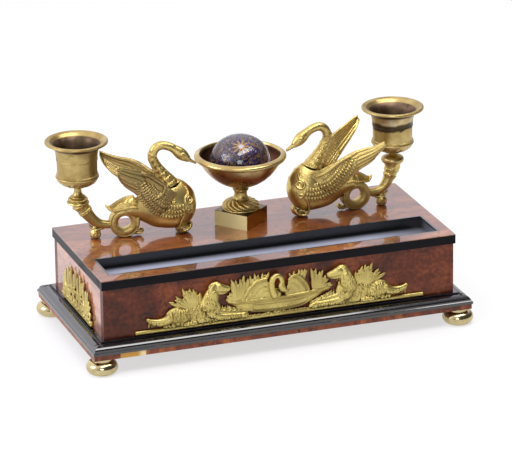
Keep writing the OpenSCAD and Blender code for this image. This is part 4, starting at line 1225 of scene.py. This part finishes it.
cup = {
    "foot": 34.6,
    "wall": [
        (4, 0), (5.6, 0), (6, 0.3), (6.1, 0.9), (5.7, 1.4), (5, 1.7), (4.3, 2.3), (3.6, 3.2), (3.15, 4.4),
        (2.9, 5.8), (2.8, 7.2), (2.9, 8), (3.4, 8.4), (4.2, 8.7), (5.2, 9.1), (7, 9.8), (9.6, 10.8), (12, 12),
        (14.1, 13.4), (15.4, 14.7), (16.1, 15.9),
        (16.25, 16.5), (16.7, 16.8), (17, 17.3), (17, 17.9), (16.7, 18.4), (16.2, 18.6), (16.15, 18.9),
        (16.45, 19.2), (16.4, 19.7), (15.9, 20.1),
        (15.75, 22), (15.7, 24.5), (15.75, 28), (15.95, 31.4), (16.25, 31.6), (16.3, 32.1), (16.05, 32.4),
        (16.3, 35.2), (16.8, 38.2), (17.5, 40.4),
        (18.2, 41.8), (19.1, 42.9), (18.4, 43), (17.6, 42.2), (16.9, 40.6), (16.2, 38.2), (15.6, 35),
        (15.1, 31.6), (14.7, 28), (14.7, 19.2), (14.2, 19), (2, 19),
    ],
    "lowFoot": [
        (4, 0), (6.9, 0), (7.7, 0.3), (8.5, 0.9), (8.9, 1.8), (9.1, 2.9), (8.9, 3.9), (8.2, 4.8), (7.2, 5.5),
        (6, 6), (4.8, 6.4), (3.6, 6.9), (2.9, 7.4), (3, 8),
    ],
    "pan": [
        (2, 22.4), (13, 22.4), (14.1, 22.6), (14.4, 23.2), (14.4, 28), (14.75, 31.6), (15.25, 35),
        (15.85, 38.2), (16.55, 40.6), (17.2, 42.2), (18.2, 43.35), (19.4, 43.5), (20.6, 43.9), (22, 44.5),
        (23.2, 44.75),
        (24, 44.85), (24.6, 45.3), (24.8, 46), (24.6, 46.7), (24, 47.15), (23.4, 47.3), (22.7, 47.1),
        (22.1, 46.85), (21.4, 46.75), (20.8, 46.4), (20.1, 45.6), (19.2, 44.7), (18.3, 43.8),
        (17.3, 42.7), (16.4, 41.4), (15.7, 39.4), (15, 36.4), (14.3, 33), (13.7, 29.4), (13.4, 25),
        (13, 23.8), (2, 23.8),
    ],
    "panInside": 27,
    "cuts": 18, "cutDepth": 0.32,
}


def makeCup(side, place, cupX):
    centre = place @ Vector((cupX * mm, 0, cup["foot"] * mm)) * 1000
    profile = cup["wall"] if side == "left" else cup["lowFoot"] + cup["wall"][12:]
    wall = turned(side + "_cup", centre, profile, 144)
    for v in wall.data.vertices:  # leaves engraved round the bottom of the bell
        at = v.co * 1000 - centre
        r = hypot(at.x, at.y)
        if 5 < r < 16 and 9 < at.z < 15.2:
            t = (r - 5) / 11
            wave = cos(cup["cuts"] * (atan2(at.y, at.x) + 0.05 * sin(4 * t))) * sin(pi * t) ** 0.5
            v.co.z -= cup["cutDepth"] * wave * mm
            scale = 1 + 0.018 * wave
            v.co.x, v.co.y = (centre.x + at.x * scale) * mm, (centre.y + at.y * scale) * mm
    markInside(wall, 144, len(profile) - 12)
    finish(wall, side + "_cup", "cup_finish", angle=28)
    pan = turned(side + "_drip_pan", centre, cup["pan"], 128)
    markInside(pan, 128, cup["panInside"])
    finish(pan, side + "_drip_pan", "pan_finish", side + "_pan", angle=28)


cupReach = {"left": 78.6, "right": 75.2}
for side, place in places.items():
    makeFrontFoot(side, place)
    makeTail(side, place)
    makeHorn(side, place, cupReach[side])
    makeCup(side, place, cupReach[side])
    print("stage:", side, "foot, tail, horn and cup")

# relief mounts: worked in x along the wall, z up, and depth out from the wall as -y
mount = {
    "grain": 0.3,
    "basinGrain": 0.36,
    "endGrain": 0.34,
    "foot": 26.2,
    "stripHigh": 2.8,
    "stripHalf": 119,
    "stripDeep": 2.4,
    "frontWall": -63.5,
    "endWall": 143.7,
    "endHalf": 37,
}


def mass(x, z, wide, high, depth, out):  # a rounded mass standing out from the wall
    rings = []
    for t in (-0.97, -0.82, -0.55, -0.2, 0.2, 0.55, 0.82, 0.97):
        r = sqrt(1 - t * t)
        rings.append([(x + wide * t, -depth - out * r * sin(a), z + high * r * cos(a)) for a in circle(18)])
    return skin(rings)


def limb(points, flat=0.8, sides=14, count=18):  # (x, z, radius, depth)
    run = flow(points, count)
    path = [(x, -d, z) for x, z, _, d in run]
    return tube(path, [(r * flat, r) for _, _, r, _ in run], across=(0, 1, 0), sides=sides)


def faceDepth(tree, x, z, floor=1.0):
    place, _, _, _ = tree.ray_cast(Vector((x, -30, z)), Vector((0, 1, 0)))
    return max(floor, -place.y) if place else floor


def lock(tree, x, z, angle, length, width, bend=0.5, lift=0.25, floor=1.0, high=0.75):
    # a lock of hair or a cut line of feather that lies on the relief
    path, sizes = [], []
    for i in range(9):
        t = i / 8
        a = radians(angle) + bend * sin(pi * (t - 0.15))
        if i:
            x += length / 8 * cos(a)
            z += length / 8 * sin(a)
        path.append((x, -(faceDepth(tree, x, z, floor) + lift), z))
        taper = sin(pi * min(0.97, 0.14 + 0.83 * t)) ** 0.7
        sizes.append((width * taper * high, width * taper))
    return tube(path, sizes, across=(0, 1, 0), sides=7)


def blade(x, z, tipX, tipZ, width, depth=1.3, bow=0.12):  # a reed leaf with a fold down its middle
    run = tipX - x, tipZ - z
    length = hypot(*run)
    sideX, sideZ = run[1] / length, -run[0] / length
    path, sizes = [], []
    for i in range(12):
        t = i / 11
        off = bow * length * sin(pi * t) * 0.5
        path.append((x + run[0] * t + sideX * off, -depth - 0.5 * sin(pi * t), z + run[1] * t + sideZ * off))
        w = width * (0.42 + 0.58 * sin(pi * min(0.5, t * 0.9))) * (1 - t ** 5) ** 0.7 + 0.25
        sizes.append((0.65 + 0.2 * (1 - t), w * 0.5))
    return tube(path, sizes, across=(0, 1, 0), sides=8)


def bladeFan(root, tips, width, depth=1.3, bow=0.1):
    made = []
    for i, (x, z) in enumerate(tips):
        lean = (x - root[0]) * 0.22
        turn = bow * (1 if i % 2 else -0.6)
        made.append(blade(root[0] + lean, root[1], x, z, width, depth + 0.45 * (i % 2), turn))
        if i < len(tips) - 1:  # a shorter leaf in front, between each two
            midX, midZ = (x + tips[i + 1][0]) / 2, (z + tips[i + 1][1]) / 2
            tipX, tipZ = root[0] + (midX - root[0]) * 0.8, root[1] + (midZ - root[1]) * 0.8
            made.append(blade(root[0] + lean, root[1], tipX, tipZ, width * 0.85, depth + 0.9, -bow))
    return made


dog = {  # facing right; (x, z, wide, high, depth, out)
    "masses": [
        (-86, 37.2, 8.8, 7.4, 1.4, 3.2), (-76, 38, 10, 6.6, 1.2, 2.6), (-66.5, 38.4, 11, 7.6, 1.4, 2.8),
        (-57.6, 39, 7.8, 9.6, 1.6, 3.4),
        (-83.6, 36.4, 6.6, 6.4, 2.6, 2.9), (-54.4, 56.4, 5.8, 5.2, 2.4, 2.7), (-66, 33, 13, 4.4, 1.2, 2.4),
        (-58, 46, 6.4, 6, 1.8, 2.8),
    ],
    "limbs": [
        [(-60.5, 43, 7, 2.2), (-58.8, 48, 6.2, 2.6), (-56.8, 53, 5.2, 2.8), (-54.8, 56.4, 4.2, 2.8)],
        [(-52.6, 56.8, 4.2, 3), (-49.6, 55.8, 3.6, 3.1), (-46.8, 55, 3.1, 3), (-44.4, 54.7, 2.6, 2.9)],
        [(-52, 52.8, 2.4, 2.8), (-48.4, 52.2, 1.9, 2.7), (-45.4, 52.4, 1.3, 2.6)],
        [
            (-59.5, 38, 3.8, 3.4), (-55.6, 34.4, 3.2, 3.6), (-50, 32.6, 2.5, 3.4), (-43, 32, 2.1, 3.2),
            (-35, 31.6, 1.9, 3), (-31, 31.4, 2.3, 3), (-28.8, 31.0, 1.7, 2.8),
        ],
        [(-54, 37, 2.8, 2), (-47, 35.2, 2, 2), (-39, 34.2, 1.7, 1.8), (-35, 33.8, 1.7, 1.8)],
        [
            (-79.5, 35.5, 2.6, 3.4), (-81.8, 32.4, 2, 3.4), (-80.5, 30.6, 1.8, 3.4), (-76, 30.4, 1.7, 3.4),
            (-71.5, 30.5, 1.8, 3.2),
        ],
        [
            (-90.5, 37, 4, 2.4), (-95.5, 34.8, 3.4, 2.4), (-101, 34.3, 2.9, 2.2), (-106, 35.4, 2.3, 2),
            (-109, 37.4, 1.3, 1.8),
        ],
    ],
    "ear": [
        (-56, 58.6, 2.2, 5), (-57.4, 55.6, 3.3, 5.6), (-57.2, 51.6, 3.7, 5.7), (-56, 48, 3.2, 5.4),
        (-55.4, 45, 1.6, 5),
    ],
    "coat": [(44.6, -70, -56), (42.2, -78, -54), (39.4, -80, -53), (36.4, -79, -54), (33.4, -78, -57)],
    "reeds": ((-69, 42), [
        (-91.6, 49.4), (-87, 50.6), (-86, 53.4), (-80.6, 54.4), (-80.6, 59.2), (-77.6, 57.2), (-75, 58.6),
        (-72.2, 57.6), (-69.4, 55), (-66.6, 54),
    ], 3.4),
    "apart": -5.4,
    "coatPitch": 1.75,
    "brow": (-51.4, 59.2, -20, 3.4, 0.5, -0.6),
    "eye": (-49.4, 57.6, 0.75, 0.55, 4.9, 1.1),
    "nose": (-42.9, 55.5, 0.95, 0.85, 2.9, 1.0),
    "toe": (-29.6, 31, 0.9, 0.8, 2.8, 1.5),
}


def makeDog(mirrored):
    base = joined("dog", [mass(*m) for m in dog["masses"]] + [limb(p) for p in dog["limbs"]])
    tree = surfaceOf(base)
    ear = limb(dog["ear"], 0.45)
    parts = [base, ear]
    earTree = surfaceOf(ear)
    seeded = random.Random(5)

    def fur(x, z, angle, length, width, bend=0.5, on=tree, lift=0.3):
        angle += seeded.uniform(-7, 7)
        x += seeded.uniform(-0.3, 0.3)
        length *= seeded.uniform(0.85, 1.15)
        parts.append(lock(on, x, z, angle, length, width, bend * seeded.choice((-1, 1)), lift))

    for row, (z, x0, x1) in enumerate(dog["coat"]):
        x = x0 + (row % 2) * 0.9
        while x < x1:  # coat over the ribs and shoulder, and the fringe under it
            fur(x, z, -98 + 10 * sin(x), 5.2 if z < 35 else 4.6, 0.78, 0.6)
            x += dog["coatPitch"]
    for k in range(8):  # haunch
        for j in range(3):
            fur(-91.5 + 1.9 * k, 42.5 - 3.2 * j - 0.12 * (k - 4) ** 2, -118 + 6 * k, 4.2, 0.7, 0.35)
    for k in range(15):  # feathering under the tail
        x = -108.6 + 1.35 * k
        fur(x, 36.2 - 1.7 * sin(k / 15 * pi), -82 - 1.2 * k, 5.6 - 0.1 * k, 0.72, 0.35)
    for k in range(7):  # neck
        for j in range(2):
            fur(-62.5 + 1.5 * k, 51.5 - 4.2 * j - 0.7 * k * (1 - j) * 0.4, -100, 4.4, 0.7, 0.5)
    for k in range(6):  # ear
        fur(-58.4 + 0.85 * k, 55.5 - 0.4 * abs(k - 2.5), -88 + 3 * (k - 3), 7.6, 0.62, 0.45, earTree, 0.35)
    for k in range(9):  # grass under the chest
        deep = 1.1 + 0.5 * (k % 2)
        parts.append(blade(-51 + 2.3 * k, 29.6, -48.5 + 2.2 * k, 41 - 0.75 * k, 2.6, deep, 0.2))
    for k in range(22):  # broken ground
        x, z = -95 + 3.1 * k + seeded.uniform(-0.9, 0.9), 29.9 + seeded.uniform(-0.3, 0.5)
        parts.append(mass(x, z, 2, 1.3, 1.2, 1.9 + seeded.uniform(-0.3, 0.5)))
    for k in range(34):  # grass and fringe that fall over the ground strip
        x = -94 + 1.95 * k + seeded.uniform(-0.5, 0.5)
        angle, length = -92 + seeded.uniform(-25, 25), 3.6 + seeded.uniform(-0.6, 0.5)
        parts.append(lock(tree, x, 31.4, angle, length, 0.95, 0.5, 0.5, 2.5))
    parts += [mass(*dog["eye"]), lock(tree, *dog["brow"]), mass(*dog["nose"])]
    x, z, *size = dog["toe"]
    for k in range(3):
        parts.append(mass(x + 0.9 * k, z - 0.3 * k, *size))
    parts.extend(bladeFan(*dog["reeds"]))
    if mirrored:
        for obj in parts:
            obj.data.transform(Matrix.Scale(-1, 4, (1, 0, 0)))
            obj.data.transform(Matrix.Translation((dog["apart"], 0, 0)))
    return parts


def strip(x0, x1, deep):
    low, high = mount["foot"], mount["foot"] + mount["stripHigh"]
    outline = [
        (0, low), (-deep + 0.3, low), (-deep, low + 0.4), (-deep, high - 0.7), (-deep + 0.6, high - 0.15),
        (-deep + 1, high), (0, high),
    ]
    return skin([[(x, y, z) for y, z in outline] for x in (x0, (x0 + x1) / 2, x1)])


basin = {
    "points": 48,
    "out": (3.9, 2.0),
    "rimOut": (4.2, 2.0),
    "rimSize": (0.9, 1.0),
    "beadOut": (4.1, 2.0),
    "beadSize": 0.38,
    "gadroons": 28,
    "gadroonOut": (3.3, 1.4),
    "gadroonSizes": [(0.5, 0.62), (0.6, 0.66), (0.4, 0.4)],
    "rim": [(-43.3, 43), (-27, 42.3), (-10.5, 42), (8, 42.2), (24, 42.9), (39, 44)],
    "under": [
        (-42.4, 41.5), (-36, 37.4), (-29, 34), (-21, 31.8), (-12, 30.8), (-2, 30.4), (9, 30.9), (18, 32.4),
        (26.5, 36.4), (33, 40), (38, 42.6),
    ],
}


def bulge(x, out, less):  # how far the basin stands out along its length
    return out - less * ((x + 2) / 42) ** 2


def makeBasin():
    parts = []
    count = basin["points"]
    rim, under = flow(basin["rim"], count), flow(basin["under"], count)
    rings = []
    for (x0, z0), (x1, z1) in zip(rim, under):
        out = bulge(x0, *basin["out"])
        fall = z0 - z1
        outline = [
            (0, z0), (-out, z0), (-out - 0.2, z0 - 0.5), (-out + 0.4, z0 - fall * 0.34),
            (-out + 0.2, z0 - fall * 0.5), (-out * 0.85, z1 + fall * 0.28), (-out * 0.62, z1), (0, z1),
        ]
        rings.append([(x0 + (x1 - x0) * (z0 - z) / max(0.01, fall), y, z) for y, z in outline])
    parts.append(skin(rings))
    edge = [(x, -bulge(x, *basin["rimOut"]), z + 0.1) for x, z in rim]
    parts.append(tube(edge, [basin["rimSize"]] * count, sides=10))
    bead = [(x * 0.985 - 0.02, -bulge(x, *basin["beadOut"]), z - 1.9 + 0.0004 * x * x) for x, z in rim]
    parts.append(tube(bead, [basin["beadSize"]] * count, sides=6))
    for k in range(basin["gadroons"]):  # on the underside
        x = -25 + 46 * ((k + 0.5) / basin["gadroons"])
        top = 37.2 + 0.0016 * (x + 2) ** 2
        low = next(z for px, z in under if px >= x)
        out = bulge(x, *basin["gadroonOut"])
        lean = 0.1 * (x + 2)
        path = [
            (x, -out - 0.35, top), (x - lean * 0.5, -out * 0.95 - 0.3, (top + low) / 2),
            (x - lean, -out * 0.7, low + 0.4),
        ]
        parts.append(tube(path, basin["gadroonSizes"], sides=8))
    return parts


waterBird = {
    "wings": [  # where each wing's feathers lead to, and its edge from low to high
        (-9.5, [(-31.8, 42.8), (-29.6, 47.4), (-26, 52.8), (-21.6, 56.6), (-16.4, 58.2), (-12.4, 58.6)]),
        (2.2, [(22.2, 43.6), (20.8, 48.4), (17.8, 53.2), (13.6, 57.2), (9.2, 58), (5.4, 55.2)]),
    ],
    "foot": 43.5,
    "feather": (4.6, 0.62, 0.25, 0.22),
    "neck": [
        (-6.8, 44, 3.0, 4.2), (-8.6, 49.4, 2.7, 4.4), (-9, 54.4, 2.4, 4.4), (-7.6, 58.6, 2.2, 4.4),
        (-4.8, 60.2, 2.1, 4.5),
        (-2, 58.8, 2.0, 4.6), (-0.9, 55.6, 2.0, 4.8), (-1, 52.4, 2.2, 5),
    ],
    "head": [
        (-1.4, 52.2, 2.8, 5), (-0.4, 49.6, 2.7, 5.2), (1.2, 48, 2.0, 5.2), (3.2, 47.4, 1.2, 5.2),
        (4.8, 47.4, 0.7, 5.1),
    ],
    "breast": (-5.6, 44, 5.4, 5.6, 2, 3.2),
    "eye": (-0.2, 50.8, 0.6, 0.5, 6.6, 1.0),
}


def makeWaterBird():  # the swan that rises from the basin, wings up
    parts = []
    foot = waterBird["foot"]
    for rootX, edge in waterBird["wings"]:
        run = flow(edge, 34)
        rings = []
        for x, z in run:
            midX, midZ = x + (rootX - x) * 0.5, z + (44 - z) * 0.5
            front = [(x, -1.2, z), (x, -2.9, z), (midX, -3.3, midZ), (rootX, -3.6, foot)]
            rings.append(front + [(rootX, -1.2, foot), (midX, -1.2, midZ)])
        wing = skin(rings)
        tree = surfaceOf(wing)
        parts.append(wing)
        parts.append(tube([(x, -3.0, z) for x, z in run], [(1.0, 0.95)] * 34, sides=10))
        for k in range(17):  # long feathers that follow the edge down into the basin
            x, z = run[int((k + 0.5) / 17 * 33)]
            acrossWing, downWing = rootX - x, 43 - z
            angle = degrees(atan2(downWing, acrossWing))
            count = max(1, int(hypot(acrossWing, downWing) / 4.2))
            for j in range(count):
                t = 0.1 + 0.9 * j / count
                parts.append(lock(tree, x + acrossWing * t, z + downWing * t, angle, *waterBird["feather"]))
    parts.append(mass(*waterBird["breast"]))
    parts.append(limb(waterBird["neck"], 0.9, 16, 40))
    parts.append(limb(waterBird["head"]))
    parts.append(mass(*waterBird["eye"]))
    return parts


reeds = [  # round the basin: (root, leaf tips, width, depth)
    ((-33, 41), [
        (-45.6, 45.6), (-45, 48), (-42.6, 50.6), (-41.4, 54.2), (-41.2, 58.2), (-41.4, 61.4), (-37.4, 60.2),
        (-34, 61), (-30.4, 63.3), (-27.4, 60.6),
    ], 3.8, 1.3),
    (
        (-20, 46), [(-25.6, 62.2), (-22.2, 63.4), (-18.8, 62), (-15.4, 63), (-12.6, 61.8), (-10.2, 63.4)],
        3.4, 1.0,
    ),
    ((26, 41), [
        (42.6, 46), (40.9, 48.2), (38.8, 51.4), (36.6, 54.6), (34.2, 58.8), (31.4, 58.4), (28.4, 60.8),
        (24.2, 61.8),
    ], 3.8, 1.3),
    ((12, 46), [(21.4, 60.6), (19.6, 62), (17.4, 61.4), (14.4, 62.2), (10.4, 61.2), (6.2, 60)], 3.4, 1.0),
]


def makeFrontMount():
    wall = Matrix.Translation((0, mount["frontWall"] * mm, 0))
    half = mount["stripHalf"]
    left, right = makeDog(False), makeDog(True)
    middle = makeBasin() + makeWaterBird() + [strip(-half, half - 1.3, mount["stripDeep"])]
    for fan in reeds:
        middle += bladeFan(*fan)
    for k in range(30):  # broken ground below the basin
        middle.append(mass(-32 + 2 * k + 0.7 * sin(5 * k), 29.4 + 0.3 * sin(3 * k), 1.5, 0.6, 1.4, 1.3))
    for k in range(9):  # grass between the basin and the dogs
        deep = 0.9 + 0.5 * (k % 2)
        middle.append(blade(-29 - 1.7 * k, 29.6, -29.5 - 1.9 * k, 34.6 + 0.75 * k, 2.4, deep, 0.2))
        middle.append(blade(24 + 1.9 * k, 29.6, 25.4 + 2 * k, 34.8 + 0.8 * k, 2.4, deep, -0.2))
    groups = (("left_dog", left, "grain"), ("right_dog", right, "grain"), ("basin", middle, "basinGrain"))
    for name, parts, grain in groups:
        obj = cast(joined("front_mount_" + name, parts), mount[grain], 1)
        cutFlat(obj, (0, -0.01, 0), (0, 1, 0))
        settle(obj, wall)
        finish(obj, "front_mount", "mount_finish", angle=50)


endMount = {  # leaf tips from left to right, and the stalks they spring from
    "tips": [
        (-36, 36), (-35, 42.6), (-31.6, 48), (-27.6, 52.6), (-22.6, 56.2), (-18.2, 53.4), (-12.6, 58.4),
        (-7.6, 54.6), (-2.4, 60), (3, 55.4), (8.4, 59.2), (13.4, 54.4), (18.6, 57), (23.2, 51.4), (28, 52),
        (31.6, 45.4), (35, 42.6), (36.2, 35.6),
    ],
    "stalks": [(-24, 36), (-9, 40), (8, 40), (23, 36)],
    "leaf": (4.4, 1.6),
    "scroll": {"radius": 3.6, "turns": 1.3, "out": 4.2, "start": 1.2},
    "lobe": (1.7, 1.2, 1.6, 1.5),
    "stones": 26,
    "sprouts": 20,
}


def makeEndMount(side):
    half = mount["endHalf"]
    parts = [strip(-half, half, mount["stripDeep"])]
    seeded = random.Random(11)
    for x, z in endMount["tips"]:
        stalk = min(endMount["stalks"], key=lambda s: abs(s[0] - x))
        foot, top = stalk
        lean = x - foot
        run = [
            (foot * 0.8, 28.6, 1.1, 1.6), (foot * 0.9 + lean * 0.2, 34, 1.0, 2),
            (foot + lean * 0.5, top + 3, 0.9, 2.2),
        ]
        parts.append(limb(run, 0.8, 8, 10))
        bow = 0.2 * (1 if lean > 0 else -1)
        parts.append(blade(foot + lean * 0.5, top + 1.5, x, z, *endMount["leaf"], bow))
    roll = endMount["scroll"]
    for x, z in endMount["stalks"]:
        for way in (1, -1):  # paired scrolls and lobes, with gaps between them
            midX, midZ = x + way * roll["out"], z + 0.6
            path = spiral(midX, midZ, roll["radius"], roll["turns"], way, roll["start"], 20)
            parts.append(limb([(a, b, 1.0, 2.4) for a, b in path], 0.9, 10, 30))
            for k in range(4):
                a = 0.3 + 1.3 * k
                reachX, reachZ = roll["out"] * cos(a), roll["out"] * sin(a)
                parts.append(mass(midX + reachX, midZ + reachZ, *endMount["lobe"]))
    for k in range(endMount["stones"]):
        x, z = -35 + 2.8 * k + seeded.uniform(-0.7, 0.7), 29.8 + seeded.uniform(-0.4, 0.9)
        parts.append(mass(x, z, 1.8, 1.4, 1.2, 2 + seeded.uniform(-0.4, 0.6)))
    for k in range(endMount["sprouts"]):
        x = -34 + 3.55 * k
        tipX, tipZ = x + seeded.uniform(-2.5, 2.5), 35 + seeded.uniform(-1.5, 2.5)
        parts.append(blade(x, 29, tipX, tipZ, 2.2, 1.8, 0.2))
    name = ("left" if side < 0 else "right") + "_mount"
    obj = cast(joined(name, parts), mount["endGrain"], 1)
    cutFlat(obj, (0, -0.01, 0), (0, 1, 0))
    turn = Matrix.Rotation(radians(-90 if side < 0 else 90), 4, "Z")
    settle(obj, Matrix.Translation((side * mount["endWall"] * mm, 0, 0)) @ turn)
    finish(obj, name, "mount_finish", "case" if side < 0 else "drawer", angle=50)


makeFrontMount()
for side in (-1, 1):
    makeEndMount(side)
print("stage: relief mounts")

tazza = {
    "x": -2.2, "y": 22,
    "footLow": 85.6, "stemLow": 94.2, "bowlLow": 104.4, "rimMiddle": 129,
    "lobes": 15, "lobeDepth": 0.075, "twist": 1.15,
    "footEdge": [(3, 0), (14.6, 0), (15, 0.3), (15, 1.0), (14.7, 1.4), (14.1, 1.55)],
    "footLobes": [(14.1, 1.55), (14.5, 2.2), (14.2, 3.4), (12.9, 5.1), (10.7, 6.5), (8.5, 7.25), (7.2, 7.5)],
    "footNeck": [(6.6, 7.5), (6.9, 7.7), (6.9, 8.1), (6.5, 8.35), (6.5, 8.6), (3, 8.6)],
    "stem": [
        (2, 0), (6.4, 0), (6.3, 0.35), (5.8, 0.9), (5.3, 2), (5.0, 3.6), (5.0, 5), (5.3, 6.1), (5.6, 6.4),
        (6.1, 6.6), (6.35, 7), (6.35, 7.4), (6.1, 7.8), (5.6, 8), (5.5, 8.3), (5.9, 8.5), (6.1, 8.8),
        (6.6, 9.3), (7.5, 9.8), (7.8, 10.2), (2, 10.2),
    ],
    "bowlOutside": [
        (2, 0), (7.7, 0), (8.6, 0.25), (12, 1.5), (16.5, 3.7), (21, 6.7), (25, 10.3), (28.2, 14.2), (30.6, 18),
        (32, 21), (32.5, 22.1), (33.1, 22.4), (34.6, 22.4), (35.7, 22.9), (36.3, 23.7), (36.4, 24.6),
        (36.1, 25.4), (35.3, 26.0), (34, 26.5), (33, 26.85), (32.3, 26.8), (31.9, 26.4), (31.5, 25.5), (31.2, 24.6),
    ],
    "hollow": (31.2, 21.4),
}

weight = {
    "radius": 23.5, "high": 19.8, "base": 14.5, "middle": 126.05,
    "coreRadius": 15.2, "coreHigh": 13.6,
}


def makeTazza():
    x0, y0 = tazza["x"], tazza["y"]
    rings = [[(r * cos(a), r * sin(a), h) for a in circle(240)] for r, h in tazza["footEdge"]]
    lobes = flow(tazza["footLobes"], 30)
    for i, (r, h) in enumerate(lobes):
        t = i / (len(lobes) - 1)
        swell = tazza["lobeDepth"] * sin(pi * min(1, 0.12 + t * 0.85)) ** 0.6
        ring = []
        for a in circle(240):
            wave = swell * (abs(cos(tazza["lobes"] * (a + tazza["twist"] * t) / 2)) - 0.62)
            ring.append((r * (1 + wave) * cos(a), r * (1 + wave) * sin(a), h + wave * 8 * t))
        rings.append(ring)
    rings += [[(r * cos(a), r * sin(a), h) for a in circle(240)] for r, h in tazza["footNeck"]]
    foot = skin(rings)
    foot.name = foot.data.name = "tazza_foot_gadroons"
    settle(foot, Matrix.Translation((x0 * mm, y0 * mm, tazza["footLow"] * mm)))
    finish(foot, "tazza_foot")
    stem = turned("tazza_stem_turned", (x0, y0, tazza["stemLow"]), tazza["stem"])
    finish(stem, "tazza_stem", angle=50)
    wide, deep = tazza["hollow"]
    top = tazza["rimMiddle"] - tazza["bowlLow"]
    inside = [(wide * sin(radians(a)), top - deep * cos(radians(a))) for a in range(86, 8, -3)]
    profile = tazza["bowlOutside"] + inside + [(2, top - deep)]
    bowl = turned("tazza_bowl_turned", (x0, y0, tazza["bowlLow"]), profile, 160)
    markInside(bowl, 160, len(tazza["bowlOutside"]) - 1)
    finish(bowl, "tazza_bowl", "bowl_finish", angle=40)


def makeWeight():
    place = (tazza["x"], tazza["y"], weight["middle"])
    drop = weight["high"] * sqrt(1 - (weight["base"] / weight["radius"]) ** 2)
    low = -degrees(asin(drop / weight["high"]))
    steps = 40
    rise = [radians(low + (89.3 - low) * i / steps) for i in range(steps + 1)]
    dome = [(weight["radius"] * cos(a), weight["high"] * sin(a)) for a in rise]
    shell = turned("weight_clear_glass", place, [(2, -drop), (weight["base"] - 0.5, -drop)] + dome, 128)
    finish(shell, "glass_weight", "clear_glass_finish", "weight", "blue_glass", 30)
    wide, high = weight["coreRadius"], weight["coreHigh"]
    rise = [radians(-88 + 177.2 * i / steps) for i in range(steps + 1)]
    core = [(wide * cos(a), high * sin(a) - 1.2) for a in rise]
    inner = turned("weight_blue_core", place, core, 96)
    finish(inner, "glass_weight", "core_finish", "weight", "blue_glass", 60)


makeTazza()
makeWeight()
print("stage: tazza and weight")
